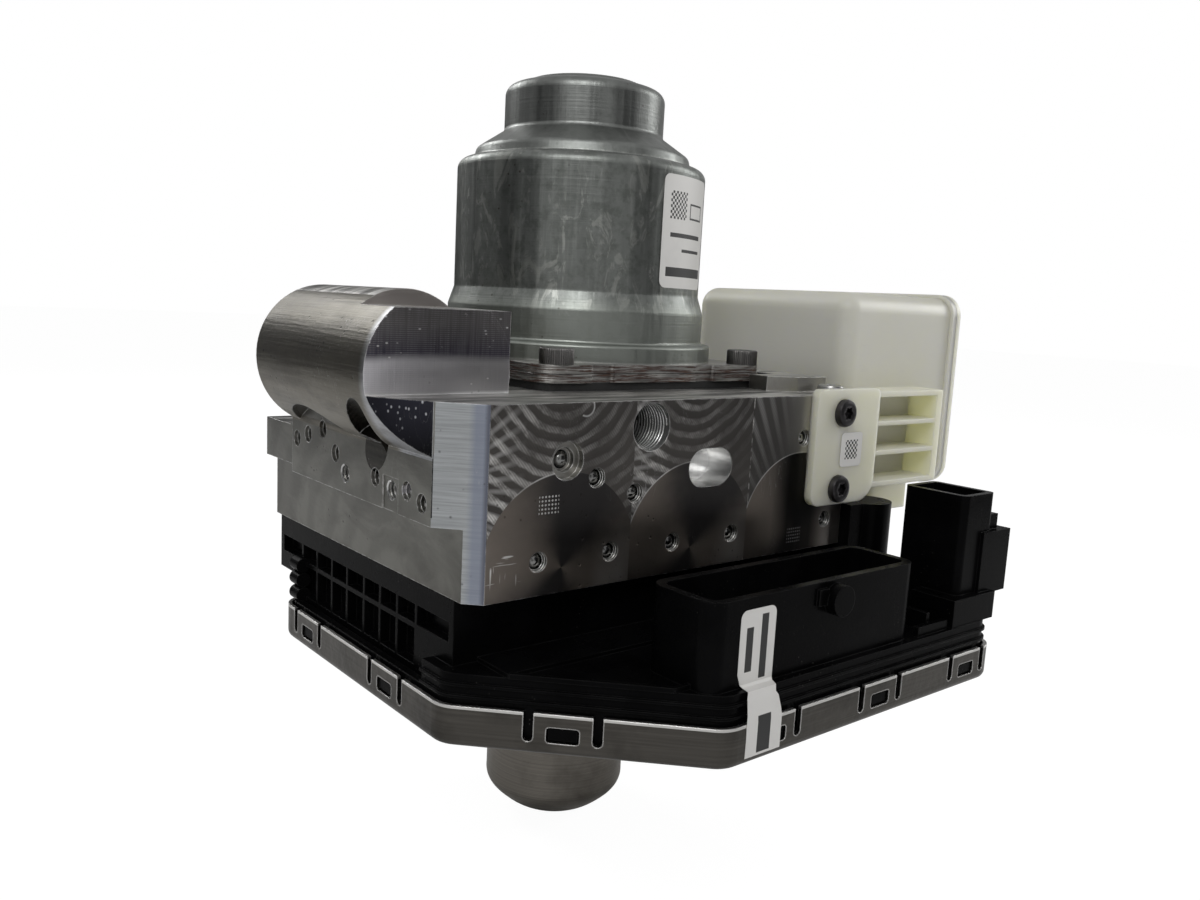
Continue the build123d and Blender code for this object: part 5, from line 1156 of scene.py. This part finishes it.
class BRAKE_OT_stickers(Step, bpy.types.Operator):
    """Finishes the stickers, which carry plain bars and squares only"""

    bl_idname = "brake.stickers"
    bl_label = "Stickers"

    def make(self, scene):
        settings = scene.brake_sheets

        def checks(finish, across, up, centre, half):
            """Square patch of alternate squares."""
            offs = (across - centre[0], up - centre[1])
            inside = offs[0].between(-half, half) * offs[1].between(-half, half)
            signs = [finish.math("SIGN", off.wave(2 * settings.check)) for off in offs]
            return inside * (signs[0] * signs[1] > 0.0)

        def motor_shapes(finish):
            _, angle, z = finish.about_axis()
            along = (angle + MOTOR_LABEL_TURN) * CAN_GIRTH
            square = checks(finish, along, z, (-0.0066, 0.0590), 0.0044)
            outer, inner = (bars(finish, along, z, box) for box in MOTOR_FRAME)
            return finish.union(square, bars(finish, along, z, *MOTOR_BARS), outer - inner)

        def code_shapes(finish):
            x, _, z = finish.split(finish.where)
            return checks(finish, x, z, (0.06125, -0.01845), 0.0033)

        def strip_shapes(finish):
            x, _, z = finish.split(finish.where)
            return bars(finish, x, z, *STRIP_BARS)

        def on_can(along, across, lift):
            turn = math.radians(-90.0) + along / CAN_RADIUS
            out = CAN_RADIUS + 0.00002 + lift
            return (out * math.cos(turn), out * math.sin(turn), across)

        def on_bracket(along, across, lift):
            return (along, BRACKET_FACE - lift, across)

        def on_strip(along, across, lift):
            """Along counts the way's points; the film lifts off at right angles to its stretches."""
            index = min(int(along), len(STRIP_WAY) - 2)
            part = along - index
            here, there = Vector(STRIP_WAY[index]), Vector(STRIP_WAY[index + 1])
            before = Vector(STRIP_WAY[index - 1]) if index and part == 0.0 else here
            run = (there - before).normalized()
            spot = here.lerp(there, part) + lift * Vector((run.y, -run.x))
            return (across, spot.x, spot.y)

        wide = math.radians(38.0) * CAN_RADIUS
        motor_rows = rounded_rows(0.0, wide, 0.0325, 0.0685, 0.0024, 24)
        code_rows = rounded_rows(0.0555, 0.067, -0.0243, -0.0126, 0.0014)
        # The strip starts rounded, then follows its way with a narrow waist
        left, right = STRIP_EDGES
        rounded = rounded_rows(0.0, 0.04, left, right, 0.0022)
        strip_rows = [(along / 0.02, low, high) for along, low, high in rounded if along < 0.0031]
        strip_rows += [(along, left + trim, right - other) for along, trim, other in STRIP_WAIST]
        for name, rows, place, finish_name, shapes, node in (
            ("motor_sticker", motor_rows, on_can, "motor_sticker", motor_shapes, "motor_label"),
            ("code_sticker", code_rows, on_bracket, "code_sticker", code_shapes, "code_label"),
            ("seal_sticker", strip_rows, on_strip, "strip_sticker", strip_shapes, "seal_strip"),
        ):
            film(name, rows, place, sticker_finish(finish_name, settings, shapes), settings.film, node)


class BRAKE_OT_stage(Step, bpy.types.Operator):
    """Sets up the floor, the lamps, the background and the camera"""

    bl_idname = "brake.stage"
    bl_label = "Stage"

    def make(self, scene):
        settings = scene.brake_stage
        # Floor: white to the eye, matt for the light
        floor = self.flat("floor", FLOOR_SIZE, FLOOR_SIZE, Matrix.Translation((0.0, 0.0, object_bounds()[0].z)))
        sheet = Sheet(floor.node_tree)
        matt = sheet.field("ShaderNodeBsdfDiffuse", {"Color": four(settings.floor)})
        glow = sheet.field("ShaderNodeEmission", {"Color": four(WHITE), "Strength": settings.glow})
        mixed = sheet.field("ShaderNodeMixShader", {0: sheet.seen() * settings.glow_share, 1: matt, 2: glow})
        sheet.add("ShaderNodeOutputMaterial", {0: mixed})
        # Background: white to the eye, dimmer in reflections, soft light otherwise
        world = bpy.data.worlds.new("studio")
        scene.world = world
        world.use_nodes = True
        sheet = Sheet(world.node_tree)
        glossy = sheet.field("ShaderNodeLightPath", output="Is Glossy Ray")
        strength = sheet.union(sheet.seen(), glossy.span(0.0, 1.0, settings.soft, settings.mirrored))
        back = sheet.field("ShaderNodeBackground", {0: four(WHITE), 1: strength})
        sheet.add("ShaderNodeOutputWorld", {0: back})
        for name, place, size, field in LAMPS:
            light = bpy.data.lights.new(name, "AREA")
            light.shape = "DISK"
            light.size = size
            light.energy = getattr(settings, field)
            self.link(name, light, self.aimed(place))
        # Dark cards, seen only in reflections
        for name, place, width, height in CARDS:
            sheet = Sheet(self.flat(name, width, height, self.aimed(place)).node_tree)
            matt = sheet.field("ShaderNodeBsdfDiffuse", {"Color": four(settings.card)})
            sheet.add("ShaderNodeOutputMaterial", {0: matt})
            for ray in ("camera", "diffuse", "transmission", "shadow", "volume_scatter"):
                setattr(bpy.data.objects[name], "visible_" + ray, False)
        # Camera at the photograph's place
        lens = bpy.data.cameras.new("camera")
        lens.sensor_width = 36.0
        lens.lens = settings.lens
        turn = Matrix((CAMERA_RIGHT, -CAMERA_DOWN, -CAMERA_AHEAD)).transposed().to_4x4()
        scene.camera = self.link("camera", lens, Matrix.Translation(CAMERA_PLACE) @ turn)
        scene.view_settings.view_transform = "Standard"

    def link(self, name, data, matrix):
        made = bpy.data.objects.new(name, data)
        made.matrix_world = matrix
        bpy.context.scene.collection.objects.link(made)
        return made

    def flat(self, name, width, height, matrix):
        """Rectangle of the stage; gives its new material."""
        mesh = bpy.data.meshes.new(name)
        w, h = width / 2, height / 2
        mesh.from_pydata([(-w, -h, 0), (w, -h, 0), (w, h, 0), (-w, h, 0)], [], [(0, 1, 2, 3)])
        material = bpy.data.materials.new(name)
        material.use_nodes = True
        mesh.materials.append(material)
        self.link(name, mesh, matrix)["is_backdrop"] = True
        return material

    def aimed(self, place):
        """Placed there, facing the unit."""
        facing = (Vector(place) - UNIT_MIDDLE).to_track_quat("Z", "Y")
        return Matrix.Translation(place) @ facing.to_matrix().to_4x4()


class BRAKE_PT_panel(bpy.types.Panel):
    """Lists the sizes, the colours and the pieces"""

    bl_idname = "BRAKE_PT_panel"
    bl_label = "Brake unit"
    bl_space_type = "VIEW_3D"
    bl_region_type = "UI"
    bl_category = "Brake unit"

    def draw(self, context):
        for operator in OPERATORS:
            self.layout.operator(operator.bl_idname)
        for name, group in GROUPS.items():
            box = self.layout.box()
            box.label(text=group.__name__.replace("Settings", ""))
            for field in group.__annotations__:
                box.prop(getattr(context.scene, name), field)


GROUPS = {
    "brake_block": BlockSettings,
    "brake_motor": MotorSettings,
    "brake_screws": ScrewSettings,
    "brake_plastic": PlasticSettings,
    "brake_sheets": SheetSettings,
    "brake_stage": StageSettings,
}
OPERATORS = [
    BRAKE_OT_stage,
    BRAKE_OT_block,
    BRAKE_OT_motor,
    BRAKE_OT_screws,
    BRAKE_OT_control_unit,
    BRAKE_OT_reservoir,
    BRAKE_OT_drive,
    BRAKE_OT_stickers,
]


def register():
    for made in [*GROUPS.values(), *OPERATORS, BRAKE_PT_panel]:
        bpy.utils.register_class(made)
    for name, group in GROUPS.items():
        setattr(bpy.types.Scene, name, bpy.props.PointerProperty(type=group))


def unregister():
    for name in GROUPS:
        delattr(bpy.types.Scene, name)
    for made in reversed([*GROUPS.values(), *OPERATORS, BRAKE_PT_panel]):
        bpy.utils.unregister_class(made)


def main():
    register()
    for operator in OPERATORS:
        family, name = operator.bl_idname.split(".")
        getattr(getattr(bpy.ops, family), name)()


if __name__ == "__main__":
    main()
